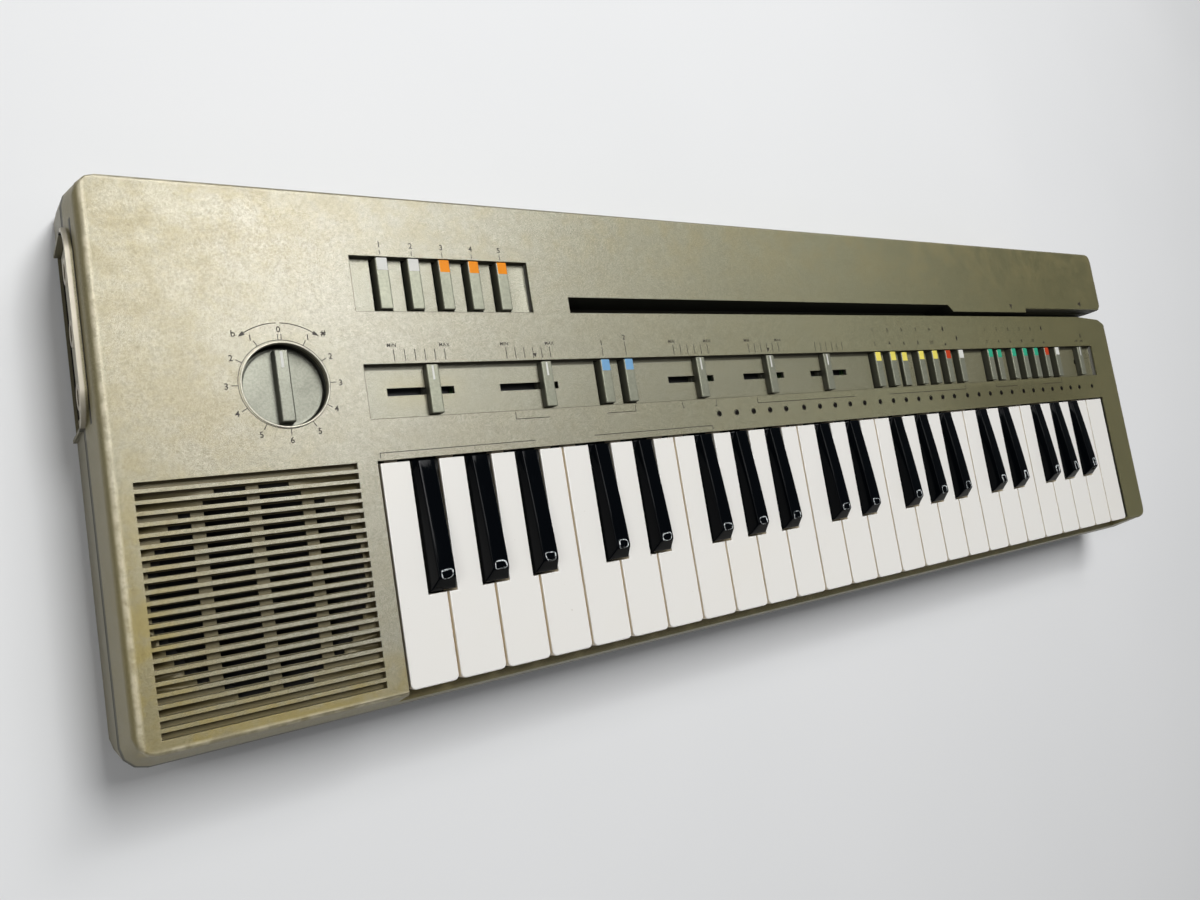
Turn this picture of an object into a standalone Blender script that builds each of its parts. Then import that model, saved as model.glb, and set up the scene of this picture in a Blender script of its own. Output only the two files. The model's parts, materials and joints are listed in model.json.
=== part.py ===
"""Portable mini-key keyboard: casing, keybed, panel controls and inner assemblies.

The keyboard lies flat: +X runs along the keys from the lowest note to the highest,
+Y runs from the player to the rear, +Z is up. The origin is the centre of the
footprint on the table. Lengths are metres.
"""
import math

import bpy
from mathutils import Matrix

# Keyboard
PITCH = 0.0191            # one white key with its gap
WHITE_COUNT = 26
WHITE_GAP = 0.0008
KEY_VISIBLE = 0.0800      # key fronts to the rear edge of the key opening
KEY_REAR_GAP = 0.0008
WHITE_HEIGHT = 0.0120
WHITE_WALL = 0.0016
WHITE_EDGE = 0.0004
WHITE_CORNER = 0.0011
CORNER_CUT = 0.29         # share of the radius left at the middle of a round corner
HEAD_LENGTH = 0.0312      # playing end in front of the black keys
BLACK_WIDTH = 0.0101
BLACK_FRONT = 0.0320
BLACK_RISE = 0.0058       # height over the white keys at the front of its top
BLACK_SLOPE_RUN = 0.0044
BLACK_DROP = 0.0046       # how much the top falls towards the rear
BLACK_ARCH = 0.28         # 0 for a straight fall
BLACK_STATIONS = (0.35, 0.7)  # shares of the top where its height is set
BLACK_LIP = 0.0006        # height of the front edge over the white keys
BLACK_TAPER = 0.36        # narrowing of each side per unit of height
BLACK_SKIRT = 0.0090
BLACK_GAP = 0.0006
GROUP_SPREAD = 0.00240    # outer black keys of a group of three
PAIR_SPREAD = 0.00165     # black keys of a group of two
BLACK_SHIFT = 0.0005      # all black keys towards the high notes
KEY_DROP = 0.00095        # white key tops below the panel

# Key hinge, behind and below the visible keys
HINGE_BACK = 0.0075       # rod centre behind the opening's rear edge
HINGE_DEPTH = 0.0065      # rod centre below the white key tops
ROD_RADIUS = 0.0016
HOOK_WALL = 0.0012
HOOK_WIDTH = 0.0050
RUN_GAP = 0.0004          # running clearance of the key hooks
REST_GAP = 0.0003         # gap between seated pieces
FRAME_DEPTH = 0.0180      # frame plate top below the white key tops
FRAME_PLATE = 0.0020
RAIL_WALL = 0.0020
FIN_WIDTH = 0.0022
KEYS_PER_FIN = 4

# Casing
LEFT_BLOCK = 0.0875       # left wall to the first key
RIGHT_CHEEK = 0.0259      # last key to the right wall
PANEL_DEPTH = 0.0970      # opening's rear edge to the rear edge of the top face
FRONT_LEAN = 0.0063       # front wall leans out from the top face to the seam
REAR_LEAN = 0.0045
REAR_LEAN_LOW = 0.0035
FRONT_BELOW = 0.8         # share of the front lean kept at the base
SIDE_LEAN = 0.0045
SIDE_EDGE = 0.65          # share of the side lean taken by the rounded upper edge
EDGE_DROP = 0.0030        # height of the rounded upper edge
EDGE_STEPS = 3
SEAM_DEPTH = 0.0200       # seam below the top face
SEAM_GAP = 0.0006
CASE_HEIGHT = 0.0450
FOOT_HEIGHT = 0.0020
FOOT_RADIUS = 0.0070
FOOT_SIDES = 16
WALL = 0.0025
SKIN = 0.0024
CORNER_TOP = 0.0030
CORNER_SEAM = 0.0075
CORNER_STEPS = 3
LIP_HEIGHT = 0.0030
LIP_WALL = 0.0015
BASE_CHAMFER = 0.0020
OPENING_SIDE = 0.0008
OPENING_WALL = 0.0022
OPENING_DEPTH = 0.0150
RAIL_DROP = 0.0105        # front rail top below the white key tops
RAIL_BACK = 0.0010        # front rail stays this far in front of the keys

# Speaker grille
GRILLE_LEFT = 0.0095      # from the left wall
GRILLE_WIDTH = 0.0698
GRILLE_FRONT = 0.0030
GRILLE_ROWS = 23
GRILLE_PITCH = 0.0034
GRILLE_RIB = 0.0013
GROOVE_DEPTH = 0.0030
GRILLE_FLOOR = 0.0014
SOUND_RADIUS = 0.0344
SOUND_SHIFT = 0.0017      # sound opening's centre behind the grille's centre
SOUND_SLOT = 0.0014
STAY_SPACING = 0.0175
STAY_WIDTH = 0.0040

# Control wells
WELL_DEPTH = 0.0030
WELL_FLOOR = 0.0018
WELL_WALL = 0.0018
MAIN_WELL_FRONT = 0.0150  # behind the key opening
MAIN_WELL_DEPTH = 0.0197
CARD_WELL_FRONT = 0.0542
CARD_WELL_DEPTH = 0.0206
CARD_WELL_WIDTH = 0.0733
CAP_WIDTH = 0.0047
CAP_RISE = 0.0008         # cap tops over the panel
CAP_END_GAP = 0.0007
CAP_SIDE_GAP = 0.0012
PRESSED = 0.0019
CARD_PITCH = 0.0124
BANK_PITCH = 0.01215
CARD_COUNT = 5
CHORD_COUNT = 2
RHYTHM_COUNT = 7
VOICE_COUNT = 7
CARD_FIRST = 0.56         # places along the keys, in white keys
CHORD_FIRST = 5.375
RHYTHM_FIRST = 14.55
VOICE_FIRST = 19.88
POWER_PLACE = 25.14
RHYTHM_PRESSED = 2
VOICE_PRESSED = 1
BOARD_DEPTH = 0.0096      # button board tops below the panel
BOARD_THICKNESS = 0.0016
POST_WIDTH = 0.0030

# Sliders: centre of travel and present place, in white keys
SLIDERS = (
    ("master_volume_slider", 1.089, 1.298),
    ("chord_volume_slider", 3.508, 3.877),
    ("arpeggio_volume_slider", 7.906, 8.113),
    ("rhythm_volume_slider", 10.283, 10.411),
    ("tempo_slider", 12.665, 12.487),
)
SLIDER_TRAVEL = 0.0200
POSTS = (2.30, 6.70, 13.72, 19.16, 24.50)
CARD_POSTS = (0.18, 3.46)
SLOT_WIDTH = 0.0029
SLOT_CLEAR = 0.0010
CARRIAGE_DEPTH = 0.0080
CARRIAGE_HEIGHT = 0.0022
POWER_TRAVEL = 0.0040

# Transposer knob
KNOB_LEFT = 0.0588        # from the left wall
KNOB_BACK = 0.0285        # behind the key opening
KNOB_HOLE = 0.0146
KNOB_GAP = 0.0004
KNOB_SUNK = 0.0050
KNOB_DISC = 0.0020
KNOB_BAR_WIDTH = 0.0050
KNOB_BAR_LENGTH = 0.0254
KNOB_BAR_SUNK = 0.0012
KNOB_SHAFT = 0.0030
KNOB_SIDES = 32

# Card trench, running out of the right end
TRENCH_START = 4.70       # in white keys
TRENCH_NECK = 18.25
TRENCH_MOUTH = 22.40
TRENCH_FRONT = 0.0541
TRENCH_WIDTH = 0.0066
NECK_WIDTH = 0.0027
NECK_SLANT = 0.0046
TRENCH_DEPTH = 0.0170
TRENCH_WALL = 0.0018
MOUTH_BEVEL = 0.0028
MOUTH_REAR_RUN = 0.0165
MOUTH_REAR_FLARE = 0.0070
MOUTH_FRONT_RUN = 0.0355
MOUTH_FRONT_FLARE = 0.0070

# Key lamps
LAMP_COUNT = 30
LAMP_BACK = 0.0078
LAMP_RADIUS = 0.0011
LAMP_SIDES = 6

# Socket bay in the left side
BAY_BACK = 0.0110         # from the rear edge of the top face
BAY_LENGTH = 0.0657
BAY_TOP = 0.0075          # below the panel
BAY_RIM = 0.0012
BAY_RADIUS = 0.0110
BAY_LEG = 0.0060
BAY_DARK = 0.0040          # open strip under the socket panel
BAY_PLATE = 0.0020
BAY_RECESS = 0.0010
SOCKET_DROP = 0.0177      # socket centres below the bay's top
SOCKET_RADIUS = 0.0033
SOCKET_COUNT = 3
SOCKET_SIDES = 10

# Battery bay and cover, underneath at the rear
BATTERY_LEFT = 0.0215     # from the left wall
BATTERY_WIDTH = 0.1500
BATTERY_FRONT = 0.0450    # from the rear of the key opening
BATTERY_HEIGHT = 0.0290
BATTERY_WALL = 0.0018
COVER_LIP = 0.0020
COVER_LEDGE = 0.0009

# Loudspeaker and boards
SPEAKER_RADIUS = 0.0370
SPEAKER_DEPTH = 0.0200
SPEAKER_FLANGE = 0.0020
SPEAKER_SIDES = 24
MAGNET_SHARE = 0.46         # radii as shares of the flange's
BASKET_SHARE = 0.55
RIM_SHARE = 0.14
CAP_SHARE = 0.12
MAIN_BOARD_START = 5.0      # in white keys
MAIN_BOARD_FRONT = 0.0200   # behind the key opening
MAIN_BOARD_DEPTH = 0.0550
MAIN_BOARD_HEIGHT = 0.0080
MAIN_BOARD_THICKNESS = 0.0016
CHIP_COUNT = 4
CHIP_LENGTH = 0.0300
CHIP_WIDTH = 0.0130
CHIP_HEIGHT = 0.0030
BOSS_RADIUS = 0.0035
BOSS_SIDES = 8

# Derived places
KEYS_WIDTH = WHITE_COUNT * PITCH
CASE_WIDTH = LEFT_BLOCK + KEYS_WIDTH + RIGHT_CHEEK
CASE_DEPTH = FRONT_LEAN + KEY_VISIBLE + PANEL_DEPTH + REAR_LEAN + REAR_LEAN_LOW
WALL_LEFT = (BAY_RIM - CASE_WIDTH) / 2
WALL_RIGHT = WALL_LEFT + CASE_WIDTH
KEY_X = WALL_LEFT + LEFT_BLOCK
KEY_Y = -CASE_DEPTH / 2 + FRONT_LEAN
OPENING_REAR = KEY_Y + KEY_VISIBLE
FACE_REAR = OPENING_REAR + PANEL_DEPTH
PANEL_Z = FOOT_HEIGHT + CASE_HEIGHT
KEY_Z = PANEL_Z - KEY_DROP
SEAM_Z = PANEL_Z - SEAM_DEPTH
ROD_Y = OPENING_REAR + HINGE_BACK
ROD_Z = KEY_Z - HINGE_DEPTH
WELL_FLOOR_Z = PANEL_Z - WELL_DEPTH
WELL_UNDER_Z = WELL_FLOOR_Z - WELL_FLOOR
MAIN_WELL_Y = OPENING_REAR + MAIN_WELL_FRONT
CARD_WELL_Y = OPENING_REAR + CARD_WELL_FRONT
TRENCH_Y = OPENING_REAR + TRENCH_FRONT
FAR = 0.05                # how far a cutter runs past open air


def at_key(place):
    """World X of a place given in white keys from the first key's left side."""
    return KEY_X + place * PITCH


# Materials
def material(name, colour, roughness, metallic=0.0):
    made = bpy.data.materials.new(name)
    made.use_nodes = True
    shader = made.node_tree.nodes["Principled BSDF"]
    shader.inputs["Base Color"].default_value = (*colour, 1.0)
    shader.inputs["Roughness"].default_value = roughness
    shader.inputs["Metallic"].default_value = metallic
    made.diffuse_color = (*colour, 1.0)
    return made


# Mesh helpers
def mesh_object(name, points, faces, look=None):
    mesh = bpy.data.meshes.new(name)
    mesh.from_pydata(points, [], faces)
    mesh.validate()
    made = bpy.data.objects.new(name, mesh)
    bpy.context.scene.collection.objects.link(made)
    if look is not None:
        mesh.materials.append(look)
    return made


def skin(name, rings, look=None):
    """Closed solid through rings of equal point count, each anticlockwise seen from its far end."""
    count = len(rings[0])
    points = [point for ring in rings for point in ring]
    faces = [tuple(reversed(range(count)))]
    for level in range(len(rings) - 1):
        low = level * count
        high = low + count
        for k in range(count):
            nxt = (k + 1) % count
            faces.append((low + k, low + nxt, high + nxt, high + k))
    last = (len(rings) - 1) * count
    faces.append(tuple(range(last, last + count)))
    return mesh_object(name, points, faces, look)


def prism_z(name, outline, low, high, look=None):
    """An anticlockwise (x, y) outline raised from low to high."""
    return skin(name, [[(x, y, z) for x, y in outline] for z in (low, high)], look)


def prism_x(name, outline, low, high, look=None):
    """An anticlockwise (y, z) outline, seen from +X, run from low to high."""
    return skin(name, [[(x, y, z) for y, z in outline] for x in (low, high)], look)


def box_data(low, high, points, faces):
    first = len(points)
    for z in (low[2], high[2]):
        points += [(low[0], low[1], z), (high[0], low[1], z), (high[0], high[1], z), (low[0], high[1], z)]
    for face in ((3, 2, 1, 0), (4, 5, 6, 7), (0, 1, 5, 4), (1, 2, 6, 5), (2, 3, 7, 6), (3, 0, 4, 7)):
        faces.append(tuple(first + k for k in face))


def boxes(name, corners, look=None):
    """Separate boxes in one object, each given by its low and high corner."""
    points = []
    faces = []
    for low, high in corners:
        box_data(low, high, points, faces)
    return mesh_object(name, points, faces, look)


def circle(x, y, radius, sides):
    """Anticlockwise regular polygon about (x, y)."""
    step = 2 * math.pi / sides
    turns = [step * (k + 0.5) for k in range(sides)]
    return [(x + radius * math.cos(turn), y + radius * math.sin(turn)) for turn in turns]


def prisms_z(name, outlines, low, high):
    """Separate upright prisms in one object."""
    points = []
    faces = []
    for outline in outlines:
        first = len(points)
        count = len(outline)
        points += [(x, y, z) for z in (low, high) for x, y in outline]
        faces.append(tuple(first + k for k in reversed(range(count))))
        faces.append(tuple(first + count + k for k in range(count)))
        for k in range(count):
            nxt = (k + 1) % count
            faces.append((first + k, first + nxt, first + count + nxt, first + count + k))
    return mesh_object(name, points, faces)


def rounded_rect(x0, x1, y0, y1, radius, steps):
    """Anticlockwise rectangle with round corners."""
    outline = []
    corners = ((x1 - radius, y0 + radius, -90), (x1 - radius, y1 - radius, 0),
               (x0 + radius, y1 - radius, 90), (x0 + radius, y0 + radius, 180))
    for x, y, start in corners:
        for k in range(steps + 1):
            angle = math.radians(start + 90 * k / steps)
            outline.append((x + radius * math.cos(angle), y + radius * math.sin(angle)))
    return outline


def hide(thing):
    thing.hide_render = True
    thing.display_type = 'WIRE'
    return thing


def combine(target, tool, operation):
    """Boolean with the exact solver; the tool is a guide that is not part of the model."""
    step = target.modifiers.new(operation.lower(), 'BOOLEAN')
    step.operation = operation
    step.solver = 'EXACT'
    step.object = hide(tool)
    return target


def cut(target, tool):
    return combine(target, tool, 'DIFFERENCE')


def fuse(target, tool):
    return combine(target, tool, 'UNION')


def seat(thing, x, y, z):
    """Move an object's origin to a point without moving its shape."""
    thing.data.transform(Matrix.Translation((-x, -y, -z)))
    thing.location = (x, y, z)
    return thing


def shade_round(thing, angle=40):
    thing.data.shade_smooth()
    thing.data.set_sharp_from_angle(angle=math.radians(angle))
    return thing


# Key layout
def black_layout():
    """(boundary index, offset) of every black key; the lowest key is an F."""
    offsets = {1: -GROUP_SPREAD, 2: 0.0, 3: GROUP_SPREAD, 5: -PAIR_SPREAD, 6: PAIR_SPREAD}
    layout = []
    for boundary in range(1, WHITE_COUNT):
        if boundary % 7 in offsets:
            layout.append((boundary, offsets[boundary % 7]))
    return layout


def black_centre(boundary, offset):
    return KEY_X + boundary * PITCH + BLACK_SHIFT + offset


def white_sides():
    """For each white key: left, right, tail left, tail right in world X."""
    blacks = {boundary: black_centre(boundary, offset) for boundary, offset in black_layout()}
    sides = []
    for index in range(WHITE_COUNT):
        left = KEY_X + index * PITCH + WHITE_GAP / 2
        right = KEY_X + (index + 1) * PITCH - WHITE_GAP / 2
        reach = BLACK_WIDTH / 2 + BLACK_GAP
        tail_left = blacks[index] + reach if index in blacks else left
        tail_right = blacks[index + 1] - reach if index + 1 in blacks else right
        sides.append((left, right, tail_left, tail_right))
    return sides


def tail_centres():
    """Centre of every key's tail, lowest note first."""
    centres = [(side[2] + side[3]) / 2 for side in white_sides()]
    centres += [black_centre(*place) for place in black_layout()]
    return sorted(centres)


# Keys
def white_outline(sides, inset):
    """Plan of a white key with round front corners, drawn in by inset."""
    left, right, tail_left, tail_right = sides
    x0 = left + inset
    x1 = right - inset
    t0 = tail_left + inset
    t1 = tail_right - inset
    front = KEY_Y + inset
    shoulder = KEY_Y + HEAD_LENGTH - inset
    rear = OPENING_REAR - KEY_REAR_GAP - inset
    radius = max(WHITE_CORNER - inset, WHITE_CORNER / 4)
    bend = radius * CORNER_CUT
    outline = [(x0, front + radius), (x0 + bend, front + bend), (x0 + radius, front),
               (x1 - radius, front), (x1 - bend, front + bend), (x1, front + radius)]
    if tail_right < right:
        outline += [(x1, shoulder), (t1, shoulder)]
    outline += [(t1, rear), (t0, rear)]
    if tail_left > left:
        outline += [(t0, shoulder), (x0, shoulder)]
    return outline


def tray(name, outer, edge, inner, look):
    """Open-bottomed shell: outer wall, bevelled rim to the top, inner wall and ceiling."""
    low = KEY_Z - WHITE_HEIGHT
    roof = KEY_Z - WHITE_WALL
    count = len(outer)
    rings = [(inner, roof), (inner, low), (outer, low), (outer, KEY_Z - WHITE_EDGE), (edge, KEY_Z)]
    points = [(x, y, z) for ring, z in rings for x, y in ring]
    faces = [tuple(reversed(range(count)))]
    for level in range(len(rings) - 1):
        first = level * count
        for k in range(count):
            nxt = (k + 1) % count
            faces.append((first + k, first + nxt, first + count + nxt, first + count + k))
    last = (len(rings) - 1) * count
    faces.append(tuple(range(last, last + count)))
    return mesh_object(name, points, faces, look)


def arc(radius, start, stop, steps):
    """Points (y, z) round the hinge rod, angles from +Y towards +Z in degrees."""
    points = []
    for k in range(steps + 1):
        angle = math.radians(start + (stop - start) * k / steps)
        points.append((ROD_Y + radius * math.cos(angle), ROD_Z + radius * math.sin(angle)))
    return points


def hook(name, centre, reach_y):
    """Arm from inside the key's rear end to an open hook over the hinge rod."""
    inner = ROD_RADIUS + RUN_GAP
    outer = inner + HOOK_WALL
    outline = arc(outer, -15, 135, 4)
    outline.append((reach_y, ROD_Z + outer * math.sin(math.radians(135))))
    outline.append((reach_y, ROD_Z - inner))
    outline.append((ROD_Y - outer, ROD_Z - inner))
    outline += arc(inner, 200, -15, 5)
    return prism_x(name, outline, centre - HOOK_WIDTH / 2, centre + HOOK_WIDTH / 2)


def white_key(index, sides, look):
    name = f"white_key_{index + 1:02d}"
    body = tray(name, white_outline(sides, 0.0), white_outline(sides, WHITE_EDGE),
                white_outline(sides, WHITE_WALL), look)
    rear = OPENING_REAR - KEY_REAR_GAP
    centre = (sides[2] + sides[3]) / 2
    fuse(body, hook(name + "_arm", centre, rear - WHITE_WALL / 2))
    return seat(body, centre, ROD_Y, ROD_Z)


def black_top(y):
    """Height of a black key's top over the white keys, a gentle arch falling to the rear."""
    start = KEY_Y + BLACK_FRONT + BLACK_SLOPE_RUN
    span = OPENING_REAR - start
    t = (y - start) / span
    return BLACK_RISE - BLACK_DROP * t * (1 - BLACK_ARCH * (1 - t))


def black_section(y, rise):
    """Ring of one station: skirt, waist at the white keys, shoulder and top, clockwise from the front."""
    half = BLACK_WIDTH / 2
    shoulder = rise - WHITE_EDGE
    upper = half - BLACK_TAPER * shoulder
    top = upper - WHITE_EDGE
    low = -BLACK_SKIRT
    side = [(half, low), (half, 0.0), (upper, shoulder), (top, rise)]
    ring = side + [(-x, z) for x, z in reversed(side)]
    return [(x, y, KEY_Z + z) for x, z in ring]


def black_key(number, place, look):
    name = f"black_key_{number:02d}"
    centre = black_centre(*place)
    front = KEY_Y + BLACK_FRONT
    ridge = front + BLACK_SLOPE_RUN
    rear = OPENING_REAR - KEY_REAR_GAP
    stations = [front, ridge] + [ridge + (rear - ridge) * share for share in BLACK_STATIONS] + [rear]
    rises = [BLACK_LIP] + [black_top(y) for y in stations[1:]]
    rings = []
    for y, rise in zip(stations, rises):
        rings.append([(centre + x, v, z) for x, v, z in black_section(y, rise)])
    body = skin(name, [list(reversed(ring)) for ring in rings], look)
    pocket = boxes(name + "_pocket", [((centre - BLACK_WIDTH / 2 + WHITE_WALL, front + WHITE_WALL,
                                        KEY_Z - BLACK_SKIRT - FAR),
                                       (centre + BLACK_WIDTH / 2 - WHITE_WALL, rear - WHITE_WALL,
                                        KEY_Z - WHITE_WALL))])
    cut(body, pocket)
    fuse(body, hook(name + "_arm", centre, rear - WHITE_WALL / 2))
    return seat(body, centre, ROD_Y, ROD_Z)


def key_frame(look):
    """Plate under the keys with legs to the lower case and the hinge rail at its rear."""
    x0 = KEY_X
    x1 = KEY_X + KEYS_WIDTH
    top = KEY_Z - FRAME_DEPTH
    under = top - FRAME_PLATE
    floor = FOOT_HEIGHT + SKIN + REST_GAP
    rail = MAIN_WELL_Y - WELL_WALL
    front = KEY_Y + RAIL_BACK + WALL
    leg = RAIL_WALL
    outline = [(front, under), (front, floor), (front + leg, floor), (front + leg, under),
               (rail - leg, under), (rail - leg, floor), (rail, floor),
               (rail, WELL_UNDER_Z - REST_GAP), (rail - leg, WELL_UNDER_Z - REST_GAP),
               (rail - leg, top), (front, top)]
    body = prism_x("key_frame", outline, x0, x1, look)
    rod = arc(ROD_RADIUS, 18, 342, 9)
    fuse(body, prism_x("hinge_rod", rod, x0, x1))
    centres = tail_centres()
    fins = []
    picked = range(KEYS_PER_FIN - 1, len(centres) - 1, KEYS_PER_FIN)
    places = [(centres[k] + centres[k + 1]) / 2 for k in picked]
    for x in [x0 + FIN_WIDTH / 2] + places + [x1 - FIN_WIDTH / 2]:
        fins.append(((x - FIN_WIDTH / 2, ROD_Y, ROD_Z - ROD_RADIUS * 0.5),
                     (x + FIN_WIDTH / 2, rail - leg / 2, ROD_Z + ROD_RADIUS * 0.5)))
    return fuse(body, boxes("hinge_fins", fins))


# Casing
def case_ring(z, out_front, out_side, out_rear, radius, inset=0.0):
    """Level outline of the case; the outs are measured from the flat top face."""
    face_left = WALL_LEFT + SIDE_LEAN
    face_right = WALL_RIGHT - SIDE_LEAN
    outline = rounded_rect(face_left - out_side + inset, face_right + out_side - inset,
                           KEY_Y - out_front + inset, FACE_REAR + out_rear - inset,
                           max(radius - inset, radius / 4), CORNER_STEPS)
    return [(x, y, z) for x, y in outline]


def edge_outs():
    """How far the walls stand out where the rounded upper edge begins."""
    share = EDGE_DROP / SEAM_DEPTH
    swell = EDGE_DROP / 4
    return FRONT_LEAN * share + swell, SIDE_LEAN * SIDE_EDGE, REAR_LEAN * share + swell


def wall_ring(z, inset):
    """Outline of the leaning upper walls at a height between the seam and the rounded edge."""
    t = (z - SEAM_Z) / (SEAM_DEPTH - EDGE_DROP)
    front, side, rear = edge_outs()
    return case_ring(z, FRONT_LEAN + (front - FRONT_LEAN) * t, SIDE_LEAN + (side - SIDE_LEAN) * t,
                     REAR_LEAN + (rear - REAR_LEAN) * t, CORNER_SEAM, inset)


def upper_shell(inset, low, high_inset):
    """Rings of the upper case from the seam to the top face, drawn in by inset."""
    front, side, rear = edge_outs()
    rings = [seam_ring(low, inset)]
    if low < SEAM_Z:
        rings.append(seam_ring(SEAM_Z, inset))
    for k in range(EDGE_STEPS + 1):
        angle = math.pi / 2 * k / EDGE_STEPS
        out = math.cos(angle)
        z = PANEL_Z - EDGE_DROP + (EDGE_DROP - high_inset) * math.sin(angle)
        rings.append(case_ring(z, front * out, side * out, rear * out,
                               CORNER_TOP + (CORNER_SEAM - CORNER_TOP) * out, inset))
    return rings


def trench_outline(margin):
    """Plan of the card trench with its neck and flared mouth, widened by margin."""
    x0 = at_key(TRENCH_START) - margin
    neck = at_key(TRENCH_NECK)
    mouth = at_key(TRENCH_MOUTH)
    end = WALL_RIGHT + FAR
    front = TRENCH_Y - margin
    rear = TRENCH_Y + TRENCH_WIDTH + margin
    near = TRENCH_Y + NECK_WIDTH + margin
    if margin > 0:
        return [(x0, front), (WALL_RIGHT - WALL, front), (WALL_RIGHT - WALL, rear), (x0, rear)]
    run = WALL_RIGHT
    low = front - MOUTH_FRONT_FLARE
    high = near + MOUTH_REAR_FLARE + MOUTH_BEVEL
    return [(x0, front), (run - MOUTH_FRONT_RUN, front),
            (run - MOUTH_FRONT_RUN * 0.3, front - MOUTH_FRONT_FLARE * 0.25), (run, low), (end, low),
            (end, high), (run, high), (run - MOUTH_REAR_RUN * 0.4, near + MOUTH_REAR_FLARE * 0.3),
            (run - MOUTH_REAR_RUN, near), (mouth, near), (neck + NECK_SLANT, near), (neck, rear),
            (x0, rear)]


def mouth_bevel():
    """Sloping lead-in along the rear lip of the trench, from its mouth to the right end."""
    near = TRENCH_Y + NECK_WIDTH
    inner = near - NECK_WIDTH / 2
    outline = [(inner, PANEL_Z - MOUTH_BEVEL), (near, PANEL_Z - MOUTH_BEVEL),
               (near + MOUTH_BEVEL * 1.2, PANEL_Z + MOUTH_BEVEL * 0.2), (inner, PANEL_Z + MOUTH_BEVEL)]
    return prism_x("mouth_bevel", outline, at_key(TRENCH_MOUTH), WALL_RIGHT + FAR)


def button_places(first, count, pitch):
    return [at_key(first) + k * pitch for k in range(count)]


def main_buttons():
    places = button_places(CHORD_FIRST, CHORD_COUNT, BANK_PITCH)
    places += button_places(RHYTHM_FIRST, RHYTHM_COUNT, BANK_PITCH)
    return places + button_places(VOICE_FIRST, VOICE_COUNT, BANK_PITCH)


def grille_rows():
    """Low edge of each groove, from the front to the rear."""
    return [KEY_Y + GRILLE_FRONT + k * GRILLE_PITCH for k in range(GRILLE_ROWS)]


def grille_grooves():
    x0 = WALL_LEFT + GRILLE_LEFT
    slot = GRILLE_PITCH - GRILLE_RIB
    corners = []
    for y in grille_rows():
        corners.append(((x0, y, PANEL_Z - GROOVE_DEPTH), (x0 + GRILLE_WIDTH, y + slot, PANEL_Z + FAR)))
    return boxes("grille_grooves", corners)


def sound_openings():
    """Slots through the groove floors inside the round sound opening, left out at the stays."""
    middle_x = WALL_LEFT + GRILLE_LEFT + GRILLE_WIDTH / 2
    depth = GRILLE_ROWS * GRILLE_PITCH - GRILLE_RIB
    middle_y = KEY_Y + GRILLE_FRONT + depth / 2 + SOUND_SHIFT
    slot = GRILLE_PITCH - GRILLE_RIB
    corners = []
    for y in grille_rows():
        offset = y + slot / 2 - middle_y
        if abs(offset) >= SOUND_RADIUS:
            continue
        half = math.sqrt(SOUND_RADIUS ** 2 - offset ** 2)
        half = min(half, GRILLE_WIDTH / 2 - GRILLE_RIB)
        edges = [-half]
        for k in (-1, 0, 1):
            edges += [k * STAY_SPACING - STAY_WIDTH / 2, k * STAY_SPACING + STAY_WIDTH / 2]
        edges.append(half)
        for k in range(0, len(edges), 2):
            low = max(edges[k], -half)
            high = min(edges[k + 1], half)
            if high - low > STAY_WIDTH / 2:
                corners.append(((middle_x + low, y + REST_GAP, PANEL_Z - FAR),
                                (middle_x + high, y + REST_GAP + SOUND_SLOT, PANEL_Z + FAR)))
    return boxes("sound_openings", corners)


def bay_outline(inset, bottom):
    """Arch (y, z) of the socket bay: upright sides, round shoulders, flat top."""
    y1 = FACE_REAR - BAY_BACK - inset
    y0 = FACE_REAR - BAY_BACK - BAY_LENGTH + inset
    top = PANEL_Z - BAY_TOP - inset
    radius = BAY_RADIUS - inset
    outline = [(y0, bottom), (y1, bottom)]
    for k in range(4):
        angle = math.radians(30 * k)
        outline.append((y1 - radius + radius * math.cos(angle), top - radius + radius * math.sin(angle)))
    for k in range(4):
        angle = math.radians(90 + 30 * k)
        outline.append((y0 + radius + radius * math.cos(angle), top - radius + radius * math.sin(angle)))
    return outline


def bay_rim(name, high, low):
    """Raised border of the bay between two heights, to be joined to a shell."""
    x0 = WALL_LEFT - BAY_RIM
    x1 = WALL_LEFT + WALL
    outline = [(y, min(max(z, low), high)) for y, z in bay_outline(0.0, low)]
    tidy = [point for k, point in enumerate(outline) if point != outline[k - 1]]
    return prism_x(name, tidy, x0, x1)


def bay_hole(name, bottom):
    return prism_x(name, bay_outline(BAY_RIM, bottom), WALL_LEFT - FAR, WALL_LEFT + WALL + LIP_WALL * 2)


def boss_places():
    """Case screws: clear of the keys, speaker, battery bay and trench."""
    reach = WALL + LIP_WALL + REST_GAP * 2 + BOSS_RADIUS
    left = WALL_LEFT + SIDE_LEAN + reach
    right = WALL_RIGHT - SIDE_LEAN - reach
    front = KEY_Y + reach
    rear = FACE_REAR - reach
    return [(left, front), (right, front), (left, rear), (right, rear), (at_key(WHITE_COUNT / 2), rear)]


def board_pillars(spots, middle):
    """Corners of the posts between a well's floor and the board under it."""
    half = POST_WIDTH / 2
    low = PANEL_Z - BOARD_DEPTH + REST_GAP
    high = WELL_UNDER_Z + WELL_FLOOR / 2
    places = [at_key(spot) for spot in spots]
    return [((x - half, middle - half, low), (x + half, middle + half, high)) for x in places]


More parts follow.
